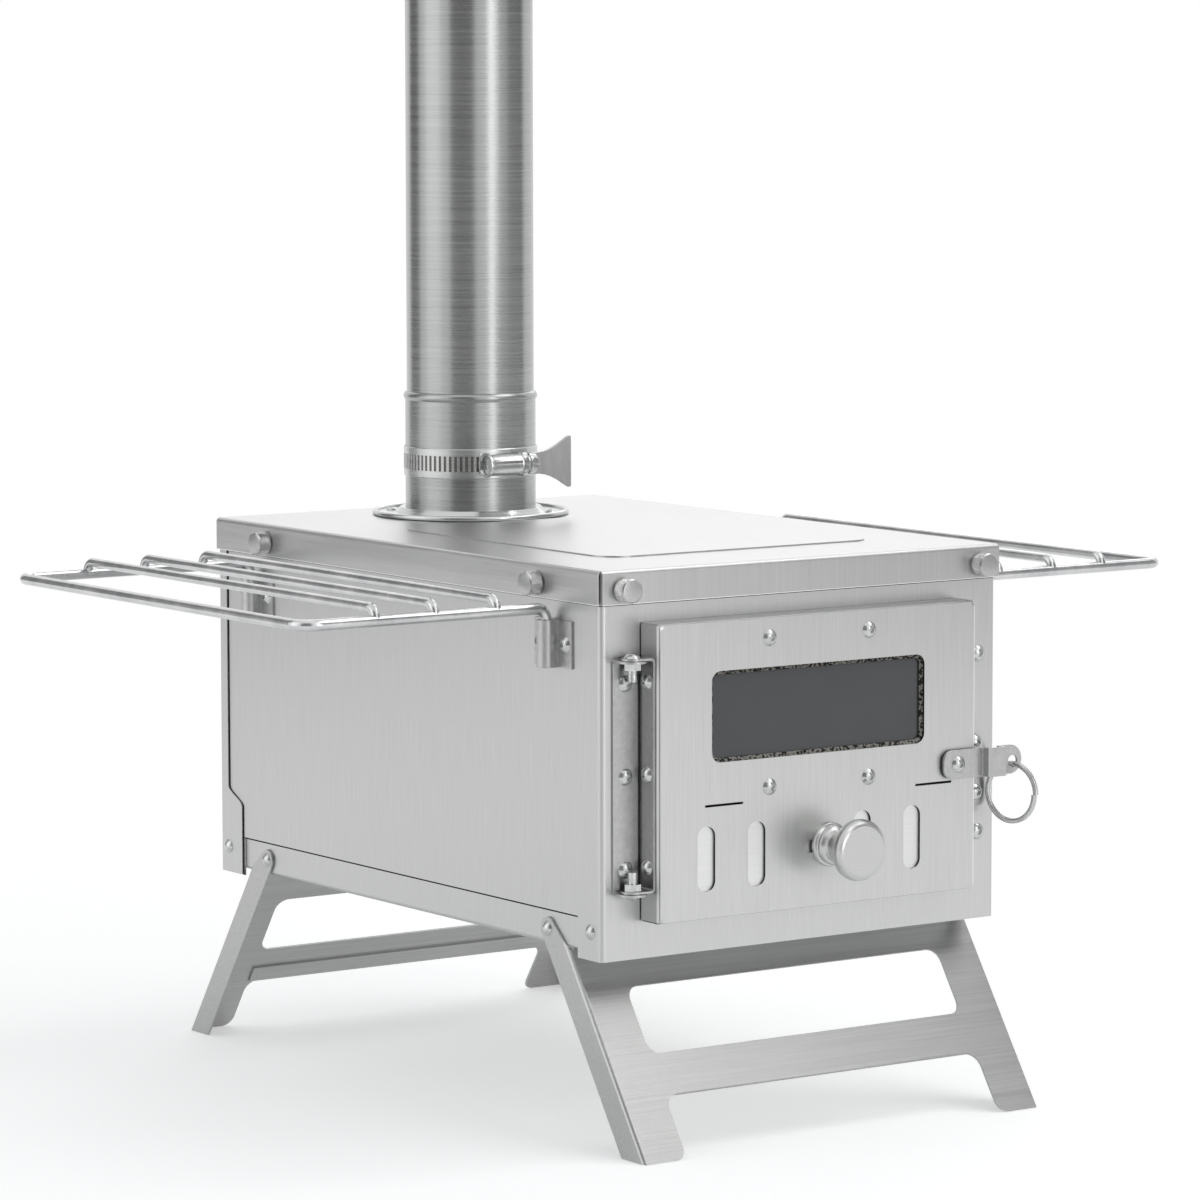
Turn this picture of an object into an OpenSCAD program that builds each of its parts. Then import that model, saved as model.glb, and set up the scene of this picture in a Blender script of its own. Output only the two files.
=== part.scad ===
/* [Firebox] */
// Width across the two side walls
body_w = 214; // [194:1:250]
// Depth from the front wall to the outer face of the rear panel
body_d = 314; // [290:1:360]
// Height of the walls from their lower edge to the top
wall_h = 166.7; // [164:0.1:200]
// Thickness of the wall sheet
sheet_t = 0.8; // [0.6:0.1:1]
// Outer radius of the folds of the walls
fold_r = 2.5; // [2:0.1:4]
// Height of the floor tray's flanges
tray_h = 19.5; // [17:0.5:21]

/* [Lid] */
// How far the lid stands out past the walls
lid_over = 1.8; // [1.4:0.1:4]
// Depth of the lid's skirt
skirt_h = 14.8; // [13:0.1:18]
// Height of the pressed field on the lid
press_h = 0.6; // [0.4:0.1:1.5]
// Diameter of the knurled thumb screws
thumb_d = 11; // [9:0.5:12]
// Length of a thumb screw's knurled head
thumb_len = 7; // [5:0.5:10]

/* [Door] */
// Room left of the door, for its hinge
hinge_zone = 20.5; // [20:0.5:24]
// Room right of the door, for the catch
catch_zone = 22.5; // [22:0.5:26]
// Depth of the door pan in front of the front wall
door_d = 14; // [13:0.5:18]
// Width of the door's sheet on each side of the window
window_side = 28; // [26.5:0.5:40.5]
// Height of the window
window_h = 39.3; // [30:0.1:42]
// Thickness of the glass
glass_t = 4; // [3:0.5:5]
// Width of one air slot, which the slide opens and closes
slot_w = 9.2; // [7:0.1:10]
// Height of one air slot
slot_h = 28.3; // [20:0.1:30]
// Diameter of the knob's head
knob_d = 27; // [22:0.5:32]
// Length of the knob in front of the door
knob_len = 24.5; // [20:0.5:30]
// Outer diameter of the split ring on the latch
ring_d = 28; // [24:0.5:30]

/* [Legs] */
// Length of a leg from its pivot to the foot
leg_len = 116.3; // [100:0.1:116.7]
// Lean of the legs from the vertical
leg_lean = 34; // [28:1:38]
// Distance of the leg pivots from the front and rear of the body
pivot_in = 40.2; // [35:0.1:40.5]
// Width of a leg's folded flange
leg_flange = 14.1; // [13:0.1:16]
// Width of one leg's face plate
leg_face = 22.3; // [18:0.1:30]

/* [Racks] */
// Reach of a side rack from the bracket to its outer bar
rack_reach = 121.4; // [100:0.1:160]
// Distance of the rack brackets from the front and rear of the body
rack_end = 34.5; // [29:0.5:36]
// Diameter of the rack frame's wire
rack_d = 4.9; // [4:0.1:5]
// Diameter of the cross bars
bar_d = 4.2; // [3:0.1:5]

/* [Flue] */
// Outer diameter of a flue pipe
flue_d = 60; // [56:1:64]
// Wall of a flue pipe
flue_t = 0.6; // [0.5:0.1:0.8]
// Length of a flue section, with its socket
flue_len = 288; // [250:1:320]
// Depth of a section's socket
socket_h = 50.2; // [46:0.1:54]
// Length of the spark arrestor
arrestor_len = 197; // [190:1:220]
// Diameter of one spark hole
spark_d = 9; // [7:0.5:10]
// Width of a hose clamp's band
band_w = 14; // [12:0.5:16]

/* [Hidden] */
$fn = 64;

// Overrun of every cut past the face that it goes through
over = 1;
// Gap between pieces that are screwed face to face
seat = 0.05;
// Radial clearance of a screw in its hole
hole_gap = 0.1;
// Radial clearance of a pin that something turns on
pin_gap = 0.05;

// Screws, nuts and rivets
screw_r = 2;
head_r = 3.65;
head_h = 2.1;
socket_r = 1.45;
socket_d = 1.2;
nut_r = 4;
nut_h = 3;
tip_len = 1;
rivet_r = 3.3;
rivet_h = 1.8;
tail_r = 3;
tail_h = 1.2;

// Legs: sheet, room beside the tray, place of the face plate and of its openings
leg_t = 1;
leg_gap = 0.2;
leg_end_r = 5;
leg_end_share = 0.97;
leg_off = leg_flange - leg_end_r;
leg_start = 15;
leg_bend = 2;
pivot_rise = 9.6;
leg_win_top = 35;
leg_win_end = 67;
leg_bar_end = 86.3;
leg_win_r = 6;
leg_toe_r = 7;
hem_w = 8.5;
pivot_y = body_d / 2 - pivot_in;
pivot_z = leg_len * cos(leg_lean) - leg_off * sin(leg_lean);

// Levels of the firebox
body_z = pivot_z - pivot_rise;
wall_top = body_z + wall_h;
lid_gap = 0.1;
lid_t = 0.8;
lid_bend = 2;
lid_relief = 1.6;
lid_top = wall_top + lid_gap + lid_t;
front_y = -body_d / 2;
rear_y = body_d / 2;
tray_gap = 0.1;
tray_t = 1;
tray_rise = 2.8;
tray_bend = 2;
tray_relief = 2.5;
tray_z = body_z + tray_rise;
tray_w = body_w - 2 * (sheet_t + tray_gap);
tray_d = body_d - 2 * (sheet_t + tray_gap);

// Side wall: cut away between the tabs, over the leg flanges
leg_room = 3.5;
side_cut = pivot_z + leg_end_r + leg_room;
front_tab = 17.5;
rear_tab = 20;
tab_rivet_x = 8;
tab_rivet_z = 12.3;
rear_rivet_x = 7;

// Rear panel: flange beside the wall, wider at its foot
rear_rise = 0.3;
rear_drop = 1;
rear_flange = 6.8;
rear_foot = 19;
rear_curve_z = 32.3;
rear_curve_h = 9;
rear_bend = 1.6;
rear_steps = 10;

// Opening in the front wall behind the door
open_side = 8.5;
open_low = 8;
open_top = 8.3;
open_r = 6;

// Grate on the tray's floor
grate_t = 1.5;
grate_gap = 10;
grate_h = 13;
grate_slot_w = 7;
grate_slot_share = 0.223;
grate_rib = 9;
grate_cols = 9;
grate_rows = 3;
grate_row_share = 0.28;

// Thumb screws: height below the lid's top and distances from the corners
thumb_drop = 8.5;
thumb_front = 10.5;
thumb_side = 45;
thumb_edge = 0.6;

// Pressed field on the lid
press_side = 34;
press_front = 43;
press_rear = 101;
press_r = 13;

// Flue: place, collar, bead and sockets
flue_back = 52;
flue_y = rear_y - flue_back;
flue_r = flue_d / 2;
flue_bore = flue_r - flue_t;
socket_gap = 0.2;
socket_r_in = flue_r + socket_gap;
socket_r_out = socket_r_in + flue_t;
bead_h = 4.7;
bead_out = 0.8;
collar_w = 16.5;
collar_t = 1.2;
collar_rim = 1.25;
collar_step_w = 4.5;
collar_step_h = 2.5;
collar_pin = 38;
collar_screw_r = 8.4;
collar_head_r = 2.6;
collar_head_h = 1.3;
collar_shank_r = 1.5;
collar_shank = 3.4;
section_1_z = lid_top + collar_t + collar_step_h + seat;
overlap = 50;
pitch = flue_len - overlap;
section_2_z = section_1_z + pitch;
section_3_z = section_2_z + pitch;

// Hose clamps
band_t = 0.7;
band_heights = [22, 12.5, 22];
worm_off = 4.4;
worm_r = 4;
house_r = 5.7;
house_back = 15.6;
house_front = 6;
house_w = 10;
worm_collar = 6;
worm_collar_r = 4.8;
wing_len = 20.6;
wing_root = 11;
wing_tip = 24.5;
wing_t = 1.6;
wing_waist_share = 0.45;
clamp_turns = [0, 45, -30];

// Damper
rod_r = 2;
rod_drop = 55;
blade_gap = 1;
blade_t = 1;
hub_r = 3.4;
hub_l = 30;
rod_out = 28;
rod_up = 31;
rod_bend = 4;
rod_left = 9;
spring_r = 3.2;
wire_r = 0.6;
spring_pitch = 2.8;
curls = 5;
curl_rings = 8;
wire_sides = 6;
spring_gap = 0.3;

// Spark arrestor
spark_rows = 6;
spark_cols = 12;
spark_pitch = 16;
spark_first = 19;
cap_in = 1.2;
cap_t = 0.8;
cap_rim = 5;
ear_z = 65;
ear_h = 19;
ear_out = 16;
ear_t = 1.2;
ear_base = 13;
ear_hole_r = 4;
ear_rivet_r = 1.6;
ear_rivet_h = 0.9;
ear_rivet_y_share = 0.45;
ear_rivet_z_share = 0.28;

// Door pan and what it carries
door_low = 16.3;
door_head = 22.1;
door_back = 0.6;
door_t = 1;
door_bend = 2.5;
door_relief = 0.5;
door_x0 = -body_w / 2 + hinge_zone;
door_x1 = body_w / 2 - catch_zone;
door_w = door_x1 - door_x0;
window_w = door_w - 2 * window_side;
door_z0 = body_z + door_low;
door_z1 = wall_top - door_head;
door_h = door_z1 - door_z0;
door_y = front_y - door_d;
window_x_share = 0.497;
window_down = 41.4;
window_x = door_x0 + window_x_share * door_w;
window_z = door_z1 - window_down;
window_r = 4.5;
glass_lap = 4.4;
glass_room = 0.5;
gasket_t = 1.5;
gasket_show = 1;
retainer_t = 1;
retainer_lip = 2.6;
win_screw_x_share = 0.2335;
win_screw_z = 12.55;
retainer_edge = 4.8;
slot_x_shares = [0.144, 0.3, 0.634, 0.794];
slot_up = 12;
slit_x_shares = [0.1985, 0.864];
slit_l = 20;
slit_h = 1;
slit_up = 48.9;

// Air slide and its knob
travel = slot_w + slit_h;
slide_gap = 0.1;
slide_t = 1;
slide_room = 0.3;
slide_foot = 2.6;
lip_t = 1;
slide_left = 14.5;
slide_right = 4.5;
lip_h = 2.5;
knob_x_share = 0.529;
knob_x = door_x0 + knob_x_share * door_w;
knob_up = 26.9;
knob_z = door_z0 + knob_up;
stem_r = 2.4;
stem_gap = 0.4;
knob_shares = [
    [0.715, 0], [0.715, 0.05], [0.69, 0.075], [0.63, 0.09], [0.61, 0.11], [0.64, 0.135], [0.64, 0.17],
    [0.61, 0.2], [0.53, 0.235], [0.47, 0.29], [0.445, 0.36], [0.45, 0.44], [0.485, 0.52], [0.56, 0.6],
    [0.68, 0.67], [0.82, 0.715], [0.93, 0.75], [0.985, 0.8], [1, 0.86], [0.985, 0.92], [0.94, 0.965],
    [0.87, 0.99], [0.8, 1], [0, 1]
];

// Hinge: two folded leaves on two short pins
hinge_off_x = 8.5;
hinge_off_y = 6.2;
hinge_x = door_x0 - hinge_off_x;
hinge_y = front_y - hinge_off_y;
leaf_t = 1;
leaf_w = 12.8;
leaf_bend = 2;
body_leaf_bend = 1.4;
leaf_gap = 0.1;
door_leaf_w = 9.9;
leaf_low = 28.7;
leaf_h = 100.6;
leaf_z = body_z + leaf_low + leaf_h / 2;
leaf_screw_share = 0.397;
pin_len = 10.2;

// Latch and catch
latch_in = 11.3;
latch_up = 56.6;
latch_z = door_z0 + latch_up;
latch_x = door_x1 - latch_in;
washer_t = 1;
washer_r = 5;
arm_t = 1.5;
arm_h = 13;
arm_back = 7.9;
arm_corner = 5;
channel_in = 15.4;
channel_w = 7.2;
channel_d = 3.9;
arm_reach = 35.8;
ring_x = 30.8;
ring_drop = 0.8;
ring_hole_r = 2.6;
ring_wire_r = 1.2;
ring_turn = 75;
catch_t = 1;
tongue_t = 3;
tongue_in = 0.7;
tongue_low = 5.6;
tongue_h = 7.8;
tongue_len = 18.4;
catch_w = 11;
catch_low = 21.8;
catch_h = 32.2;
catch_cut = 5.2;
catch_r = 3;
catch_x = latch_x + channel_in + channel_w / 2 - tongue_t / 2;
catch_screw_in = 4.7;
catch_screw_up = 6;
catch_screw_top = 4.4;
spare_in = 9.8;

// Racks and their brackets
bracket_off = 4.6;
bracket_r = 4;
bracket_t = 1;
bracket_w = 28;
bracket_h = 20.5;
bracket_drop = 42.9;
bracket_screw = 9.5;
rack_rise = 4.8;
rack_bend = 4.6;
rack_corner = 8;
rack_in = 19;
bar_rise = 5.4;
bar_bend = 5;
bar_shares = [0.208, 0.464, 0.707];
weld_gap = 0.02;
wire_gap = 0.1;
bracket_z = wall_top - bracket_drop;
rack_y = body_d / 2 - rack_end;
rack_z = bracket_z + bracket_h + rack_rise;
rack_x = body_w / 2 + bracket_off;

// Colours
steel = "#c9cac8";
bright = "#dcdddd";
dark = "#55575a";
rope = "#b9b2a2";

// Places of the thumb screws: [angle of the wall, distance along it]
thumb_x = body_w / 2 - thumb_front;
thumb_y = body_d / 2 - thumb_side;
thumb_z = lid_top - thumb_drop;

// Rounded rectangle about its middle
module round_rect(w, h, r) {
    square([w - 2 * r, h], center = true);
    square([w, h - 2 * r], center = true);
    for (x = [-1, 1], y = [-1, 1])
        translate([x * (w / 2 - r), y * (h / 2 - r)]) circle(r);
}

// Upright slot with round ends about its middle
module slot(w, h) {
    square([w, h - w], center = true);
    for (y = [-1, 1]) translate([0, y * (h - w) / 2]) circle(w / 2);
}

// Folded strip: a plate along X with its face at Y = 0 and two flanges towards -Y
module channel_profile(w, d, t, r) {
    difference() {
        union() {
            translate([-w / 2, -d]) square([w, d - r]);
            translate([-w / 2 + r, -d]) square([w - 2 * r, d]);
            for (x = [-1, 1]) translate([x * (w / 2 - r), -r]) circle(r);
        }
        union() {
            translate([-w / 2 + t, -d - over]) square([w - 2 * t, d + over - r]);
            translate([-w / 2 + r, -d - over]) square([w - 2 * r, d + over - t]);
            for (x = [-1, 1]) translate([x * (w / 2 - r), -r]) circle(r - t);
        }
    }
}

// Sheet pan: face up at Z = 0, four flanges down, small notches at the corners
module pan(w, h, d, t, r, relief) {
    rotate([90, 0, 0]) translate([0, 0, -h / 2 + relief])
        linear_extrude(h - 2 * relief) channel_profile(w, d, t, r);
    rotate([90, 0, 90]) translate([0, 0, -w / 2 + relief])
        linear_extrude(w - 2 * relief) channel_profile(h, d, t, r);
}

// Dome with its flat side at Z = 0
module dome(r, h) {
    ball = (r * r + h * h) / (2 * h);
    intersection() {
        translate([0, 0, h - ball]) sphere(ball);
        cylinder(h, r = r);
    }
}

// Button screw: underside of the head at Z = 0, shank down
module button_screw(len, r = screw_r, hr = head_r, hh = head_h) {
    difference() {
        union() {
            dome(hr, hh);
            translate([0, 0, -len]) cylinder(len + hh / 2, r = r);
        }
        translate([0, 0, hh * (1 - socket_d / head_h)])
            cylinder(hh, r = socket_r * hr / head_r, $fn = 6);
    }
}

// Hexagon nut: seat at Z = 0, body down
module hex_nut(gap = pin_gap) {
    translate([0, 0, -nut_h]) difference() {
        cylinder(nut_h, r = nut_r, $fn = 6);
        translate([0, 0, -over]) cylinder(nut_h + 2 * over, r = screw_r + gap);
    }
}

// Rivet: underside of the head at Z = 0, formed tail below the grip
module rivet(grip) {
    dome(rivet_r, rivet_h);
    translate([0, 0, -grip - tail_h]) cylinder(grip + tail_h + rivet_h / 2, r = screw_r);
    translate([0, 0, -grip - tail_h]) cylinder(tail_h, r = tail_r);
}

// Hole for a screw that stands on Z = 0
module screw_hole(r = screw_r + hole_gap, deep = 2 * over + sheet_t) {
    translate([0, 0, -deep]) cylinder(2 * deep, r = r);
}

// Frames in which local Z points out of the front wall, of the door and of a side wall
module on_front(x, z) { translate([x, front_y, z]) rotate([90, 0, 0]) children(); }
module on_door(x, z) { translate([x, door_y, z]) rotate([90, 0, 0]) children(); }
module on_side(s, y, z) { translate([s * body_w / 2, y, z]) rotate([0, 90 * s, 0]) children(); }

// Places of the screws on the front wall and on the side walls
module leaf_places() {
    for (k = [-1, 0, 1]) on_front(hinge_x, leaf_z + k * leaf_screw_share * leaf_h) children();
}
module catch_places() {
    for (z = [catch_screw_up, catch_h - catch_screw_top])
        on_front(catch_x + catch_screw_in, latch_z - catch_low + z) children();
}
module spare_places() {
    for (k = [-1, 1]) on_front(body_w / 2 - spare_in, leaf_z + k * leaf_screw_share * leaf_h) children();
}
module bracket_places() {
    for (s = [-1, 1], y = [-1, 1], k = [-1, 1])
        on_side(s, y * rack_y + k * bracket_screw, bracket_z + bracket_h / 2) children();
}
module thumb_front_places() { for (x = [-1, 1]) on_front(x * thumb_x, thumb_z) children(); }
module thumb_side_places() { for (s = [-1, 1], y = [-1, 1]) on_side(s, y * thumb_y, thumb_z) children(); }
module tab_places() {
    for (s = [-1, 1]) {
        on_side(s, front_y + tab_rivet_x, body_z + tab_rivet_z) children();
        on_side(s, rear_y - rear_rivet_x, body_z + tab_rivet_z) children();
    }
}
module pivot_places() { for (s = [-1, 1], y = [-1, 1]) on_side(s, y * pivot_y, pivot_z) children(); }

// Plan of a wall folded round the front corners
module folded_plan(w, y0, y1, r) {
    translate([-w / 2, y0 + r]) square([w, y1 - y0 - r]);
    translate([-w / 2 + r, y0]) square([w - 2 * r, y1 - y0]);
    for (x = [-1, 1]) translate([x * (w / 2 - r), y0 + r]) circle(r);
}

module firebox_shell() {
    color(steel) difference() {
        translate([0, 0, body_z]) linear_extrude(wall_h) difference() {
            folded_plan(body_w, front_y, rear_y - rear_bend - tray_gap, fold_r);
            folded_plan(body_w - 2 * sheet_t, front_y + sheet_t, rear_y, fold_r - sheet_t);
        }
        translate([-body_w / 2 - over, front_y + front_tab, body_z - over])
            cube([body_w + 2 * over, body_d - front_tab - rear_tab, side_cut - body_z + over]);
        on_front((door_x0 + door_x1) / 2, (door_z0 + open_low + door_z1 - open_top) / 2)
            translate([0, 0, -fold_r - over]) linear_extrude(fold_r + 2 * over)
                round_rect(door_w - 2 * open_side, door_h - open_low - open_top, open_r);
        leaf_places() screw_hole();
        catch_places() screw_hole();
        spare_places() screw_hole();
        thumb_front_places() screw_hole();
        thumb_side_places() screw_hole();
        bracket_places() screw_hole();
        tab_places() screw_hole();
    }
}

// Side view of what the rear panel's flange leaves out
module flange_cut() {
    z0 = rear_curve_z;
    y0 = rear_y - rear_foot;
    step = rear_foot - rear_flange;
    polygon(concat(
        [[y0 - over, wall_h + over], [y0 - over, z0]],
        [for (k = [0:rear_steps])
            [y0 + step * (1 - cos(180 * k / rear_steps)) / 2, z0 + rear_curve_h * k / rear_steps]],
        [[y0 + step, wall_h + over]]
    ));
}

module rear_panel() {
    wide = body_w + 2 * (seat + sheet_t);
    color(steel) difference() {
        translate([0, 0, body_z + rear_rise]) linear_extrude(wall_h - rear_rise - rear_drop) mirror([0, 1]) difference() {
            folded_plan(wide, -rear_y, -rear_y + rear_foot, rear_bend);
            folded_plan(wide - 2 * sheet_t, -rear_y + sheet_t, 0, rear_bend - sheet_t);
        }
        translate([-wide / 2 - over, 0, body_z]) rotate([90, 0, 90])
            linear_extrude(wide + 2 * over) flange_cut();
        tab_places() screw_hole();
    }
}

module floor_tray() {
    color(steel) difference() {
        translate([0, 0, tray_z]) mirror([0, 0, 1]) pan(tray_w, tray_d, tray_h, tray_t, tray_bend, tray_relief);
        tab_places() screw_hole(deep = 2 * over + sheet_t + tray_t);
        pivot_places() screw_hole(deep = 2 * over + sheet_t + tray_t);
    }
}

module fire_grate() {
    w = tray_w - 2 * (tray_t + grate_gap);
    d = tray_d - 2 * (tray_t + grate_gap);
    color(dark) difference() {
        translate([0, d / 2, tray_z + tray_t + seat + grate_h]) rotate([90, 0, 0])
            linear_extrude(d) channel_profile(w, grate_h, grate_t, 2 * grate_t);
        for (c = [0:grate_cols - 1], r = [0:grate_rows - 1])
            translate([
                (c - (grate_cols - 1) / 2) * (grate_slot_w + grate_rib),
                (r - (grate_rows - 1) / 2) * grate_row_share * body_d,
                tray_z + tray_t + grate_h - grate_t - over
            ]) linear_extrude(grate_t + 2 * over) slot(grate_slot_w, grate_slot_share * body_d);
    }
}

module body_rivets() {
    color(bright) for (s = [-1, 1]) {
        on_side(s, front_y + tab_rivet_x, body_z + tab_rivet_z)
            translate([0, 0, seat]) rivet(sheet_t + tray_gap + tray_t + 2 * seat);
        on_side(s, rear_y - rear_rivet_x, body_z + tab_rivet_z)
            translate([0, 0, sheet_t + 2 * seat]) rivet(2 * sheet_t + tray_gap + tray_t + 3 * seat);
    }
}

module leg_rivets() {
    lift = -sheet_t - tray_gap + leg_gap + leg_t + seat;
    color(bright) pivot_places() translate([0, 0, lift]) rivet(leg_t + leg_gap + tray_t + 2 * seat);
}

module lid() {
    over_2 = 2 * (lid_over);
    press_l = body_d - press_front - press_rear;
    press_y = front_y + press_front + press_l / 2;
    color(steel) difference() {
        union() {
            translate([0, 0, lid_top])
                pan(body_w + over_2, body_d + over_2, skirt_h, lid_t, lid_bend, lid_relief);
            translate([0, press_y, lid_top - lid_t / 2]) linear_extrude(lid_t / 2 + press_h)
                round_rect(body_w - 2 * press_side, press_l, press_r);
        }
        translate([0, press_y, lid_top - lid_t - over]) linear_extrude(press_h + over)
            round_rect(body_w - 2 * press_side - 2 * lid_t, press_l - 2 * lid_t, press_r - lid_t);
        translate([0, flue_y, lid_top - lid_t - over]) cylinder(lid_t + 2 * over, r = flue_bore);
        collar_places() translate([0, 0, -over - lid_t]) cylinder(lid_t + 2 * over, r = collar_shank_r + hole_gap);
        thumb_front_places() translate([0, 0, lid_over / 2]) cylinder(lid_over, r = screw_r + hole_gap);
        thumb_side_places() translate([0, 0, lid_over / 2]) cylinder(lid_over, r = screw_r + hole_gap);
    }
}

// Nuts on the inner faces of the walls
module wall_nuts() {
    color(bright) {
        leaf_places() translate([0, 0, -sheet_t - seat]) hex_nut();
        catch_places() translate([0, 0, -sheet_t - seat]) hex_nut();
        spare_places() translate([0, 0, -sheet_t - seat]) hex_nut();
        bracket_places() translate([0, 0, -sheet_t - seat]) hex_nut();
        thumb_front_places() translate([0, 0, -sheet_t - seat]) hex_nut();
        thumb_side_places() translate([0, 0, -sheet_t - seat]) hex_nut();
    }
}

// Thumb screw: back of the head at Z = 0
module thumb_screw() {
    r = thumb_d / 2;
    color(bright) {
        tail = lid_over + seat + sheet_t + seat + nut_h + tip_len;
        rotate_extrude() polygon([
            [0, -tail], [screw_r, -tail], [screw_r, 0], [r - thumb_edge, 0], [r, thumb_edge],
            [r, thumb_len - thumb_edge], [r - thumb_edge, thumb_len], [0, thumb_len]
        ]);
    }
}
module thumb_at(k) {
    up = lid_over + seat;
    if (k <= 2) on_front((2 * k - 3) * thumb_x, thumb_z) translate([0, 0, up]) thumb_screw();
    else on_side(k <= 4 ? -1 : 1, (k % 2 == 1 ? -1 : 1) * thumb_y, thumb_z) translate([0, 0, up]) thumb_screw();
}
module thumb_screw_1() { thumb_at(1); }
module thumb_screw_2() { thumb_at(2); }
module thumb_screw_3() { thumb_at(3); }
module thumb_screw_4() { thumb_at(4); }
module thumb_screw_5() { thumb_at(5); }
module thumb_screw_6() { thumb_at(6); }

module collar_places() {
    for (a = [135, 315]) translate([0, flue_y, lid_top]) rotate([0, 0, a])
        translate([flue_r + collar_screw_r, 0, 0]) children();
}

module flue_collar() {
    step_z = collar_t + collar_step_h;
    rim_r = flue_r + collar_w - collar_rim;
    color(bright) difference() {
        translate([0, flue_y, lid_top + seat]) rotate_extrude() {
            polygon([
                [flue_bore, 0], [rim_r, 0], [rim_r, collar_t], [flue_r + collar_step_w + collar_t, collar_t],
                [flue_r + collar_step_w, 2 * collar_t], [flue_r + collar_step_w - collar_t, step_z],
                [flue_r, step_z], [flue_r, step_z + collar_pin], [flue_bore, step_z + collar_pin]
            ]);
            translate([rim_r, collar_rim]) circle(collar_rim);
        }
        collar_places() translate([0, 0, -over]) cylinder(collar_t + 2 * over, r = collar_shank_r + hole_gap);
    }
}

module collar_screws() {
    color(bright) collar_places() translate([0, 0, collar_t + 2 * seat])
        button_screw(collar_shank, collar_shank_r, collar_head_r, collar_head_h);
}

// Flue section: socket with a bead at the foot, plain pipe above
module flue_section(len) {
    rotate_extrude() difference() {
        union() {
            translate([flue_bore, socket_h]) square([flue_t, len - socket_h]);
            translate([flue_bore, 0]) square([socket_r_out - flue_bore, socket_h + flue_t]);
            translate([socket_r_out + bead_out - bead_h / 2, socket_h + bead_h / 2]) circle(bead_h / 2);
        }
        translate([0, -over]) square([socket_r_in, socket_h + over]);
        translate([0, -over]) square([flue_bore, len + 2 * over]);
    }
}

module flue_pipe() { color(steel) translate([0, flue_y, section_1_z]) flue_section(flue_len); }

module damper_pipe() {
    color(steel) translate([0, flue_y, section_2_z]) difference() {
        flue_section(flue_len);
        translate([-flue_d, 0, flue_len - rod_drop]) rotate([0, 90, 0]) cylinder(2 * flue_d, r = rod_r + pin_gap);
    }
}

// Frame with its origin on the damper's axis
module at_damper() { translate([0, flue_y, section_2_z + flue_len - rod_drop]) children(); }

module damper_blade() {
    color(steel) at_damper() difference() {
        union() {
            rotate([90, 0, 0]) cylinder(blade_t, r = flue_bore - blade_gap, center = true);
            rotate([0, 90, 0]) cylinder(hub_l, r = hub_r, center = true);
        }
        rotate([0, 90, 0]) cylinder(2 * flue_d, r = rod_r + pin_gap, center = true);
    }
}

module damper_rod() {
    left = flue_r + rod_left;
    right = flue_r + rod_out - rod_bend;
    color(bright) at_damper() {
        translate([-left, 0, 0]) rotate([0, 90, 0]) cylinder(left + right, r = rod_r);
        translate([right, 0, rod_bend]) rotate([90, 0, 0]) rotate([0, 0, -90])
            rotate_extrude(angle = 90) translate([rod_bend, 0]) circle(rod_r);
        translate([right + rod_bend, 0, rod_bend]) cylinder(rod_up - rod_bend, r = rod_r);
    }
}

// Spring: one tube wound along X, six sides, eight rings to a curl
coil_n = curls * curl_rings;
function coil_c(k) = let (a = 360 * k / curl_rings)
    [spring_pitch * k / curl_rings, spring_r * cos(a), spring_r * sin(a)];
function coil_t(k) = let (a = 360 * k / curl_rings, v = [spring_pitch / (2 * PI), -spring_r * sin(a), spring_r * cos(a)])
    v / norm(v);
function coil_ring(k) = let (a = 360 * k / curl_rings, e = [0, cos(a), sin(a)], b = cross(coil_t(k), e))
    [for (j = [0:wire_sides - 1]) coil_c(k)
        + wire_r * (cos(360 * j / wire_sides) * e + sin(360 * j / wire_sides) * b)];
coil_points = [for (k = [0:coil_n]) each coil_ring(k)];
coil_gap = min([for (i = [0:coil_n], j = [i + curl_rings / 2:coil_n]) norm(coil_c(i) - coil_c(j))]) - 2 * wire_r;
module coil_tube() {
    s = wire_sides;
    polyhedron(coil_points, concat(
        [for (k = [0:coil_n - 1], j = [0:s - 1]) [k * s + j, (k + 1) * s + j, (k + 1) * s + (j + 1) % s]],
        [for (k = [0:coil_n - 1], j = [0:s - 1]) [k * s + j, (k + 1) * s + (j + 1) % s, k * s + (j + 1) % s]],
        [for (j = [1:s - 2]) [0, j, j + 1]],
        [for (j = [1:s - 2]) [coil_n * s, coil_n * s + j + 1, coil_n * s + j]]
    ));
}
module damper_spring() {
    color(bright) at_damper() translate([flue_r + spring_gap + wire_r, 0, 0]) coil_tube();
}

module damper_nut() {
    color(bright) at_damper() translate([-flue_r - spring_gap, 0, 0]) rotate([0, 90, 0]) hex_nut();
}

module spark_arrestor() {
    color(steel) translate([0, flue_y, section_3_z]) difference() {
        flue_section(arrestor_len);
        for (r = [0:spark_rows - 1], c = [0:spark_cols - 1])
            translate([0, 0, arrestor_len - spark_first - r * spark_pitch])
                rotate([90, 0, 360 * (c + 0.5) / spark_cols])
                    translate([0, 0, flue_bore - spark_d / 2]) cylinder(flue_d / 2, r = spark_d / 2);
    }
}

module arrestor_cap() {
    z = section_3_z + arrestor_len - cap_in - cap_t;
    color(steel) translate([0, flue_y, z]) difference() {
        translate([0, 0, cap_t - cap_rim]) cylinder(cap_rim, r = flue_bore - pin_gap);
        translate([0, 0, -cap_rim]) cylinder(cap_rim, r = flue_bore - pin_gap - cap_t);
    }
}

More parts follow.
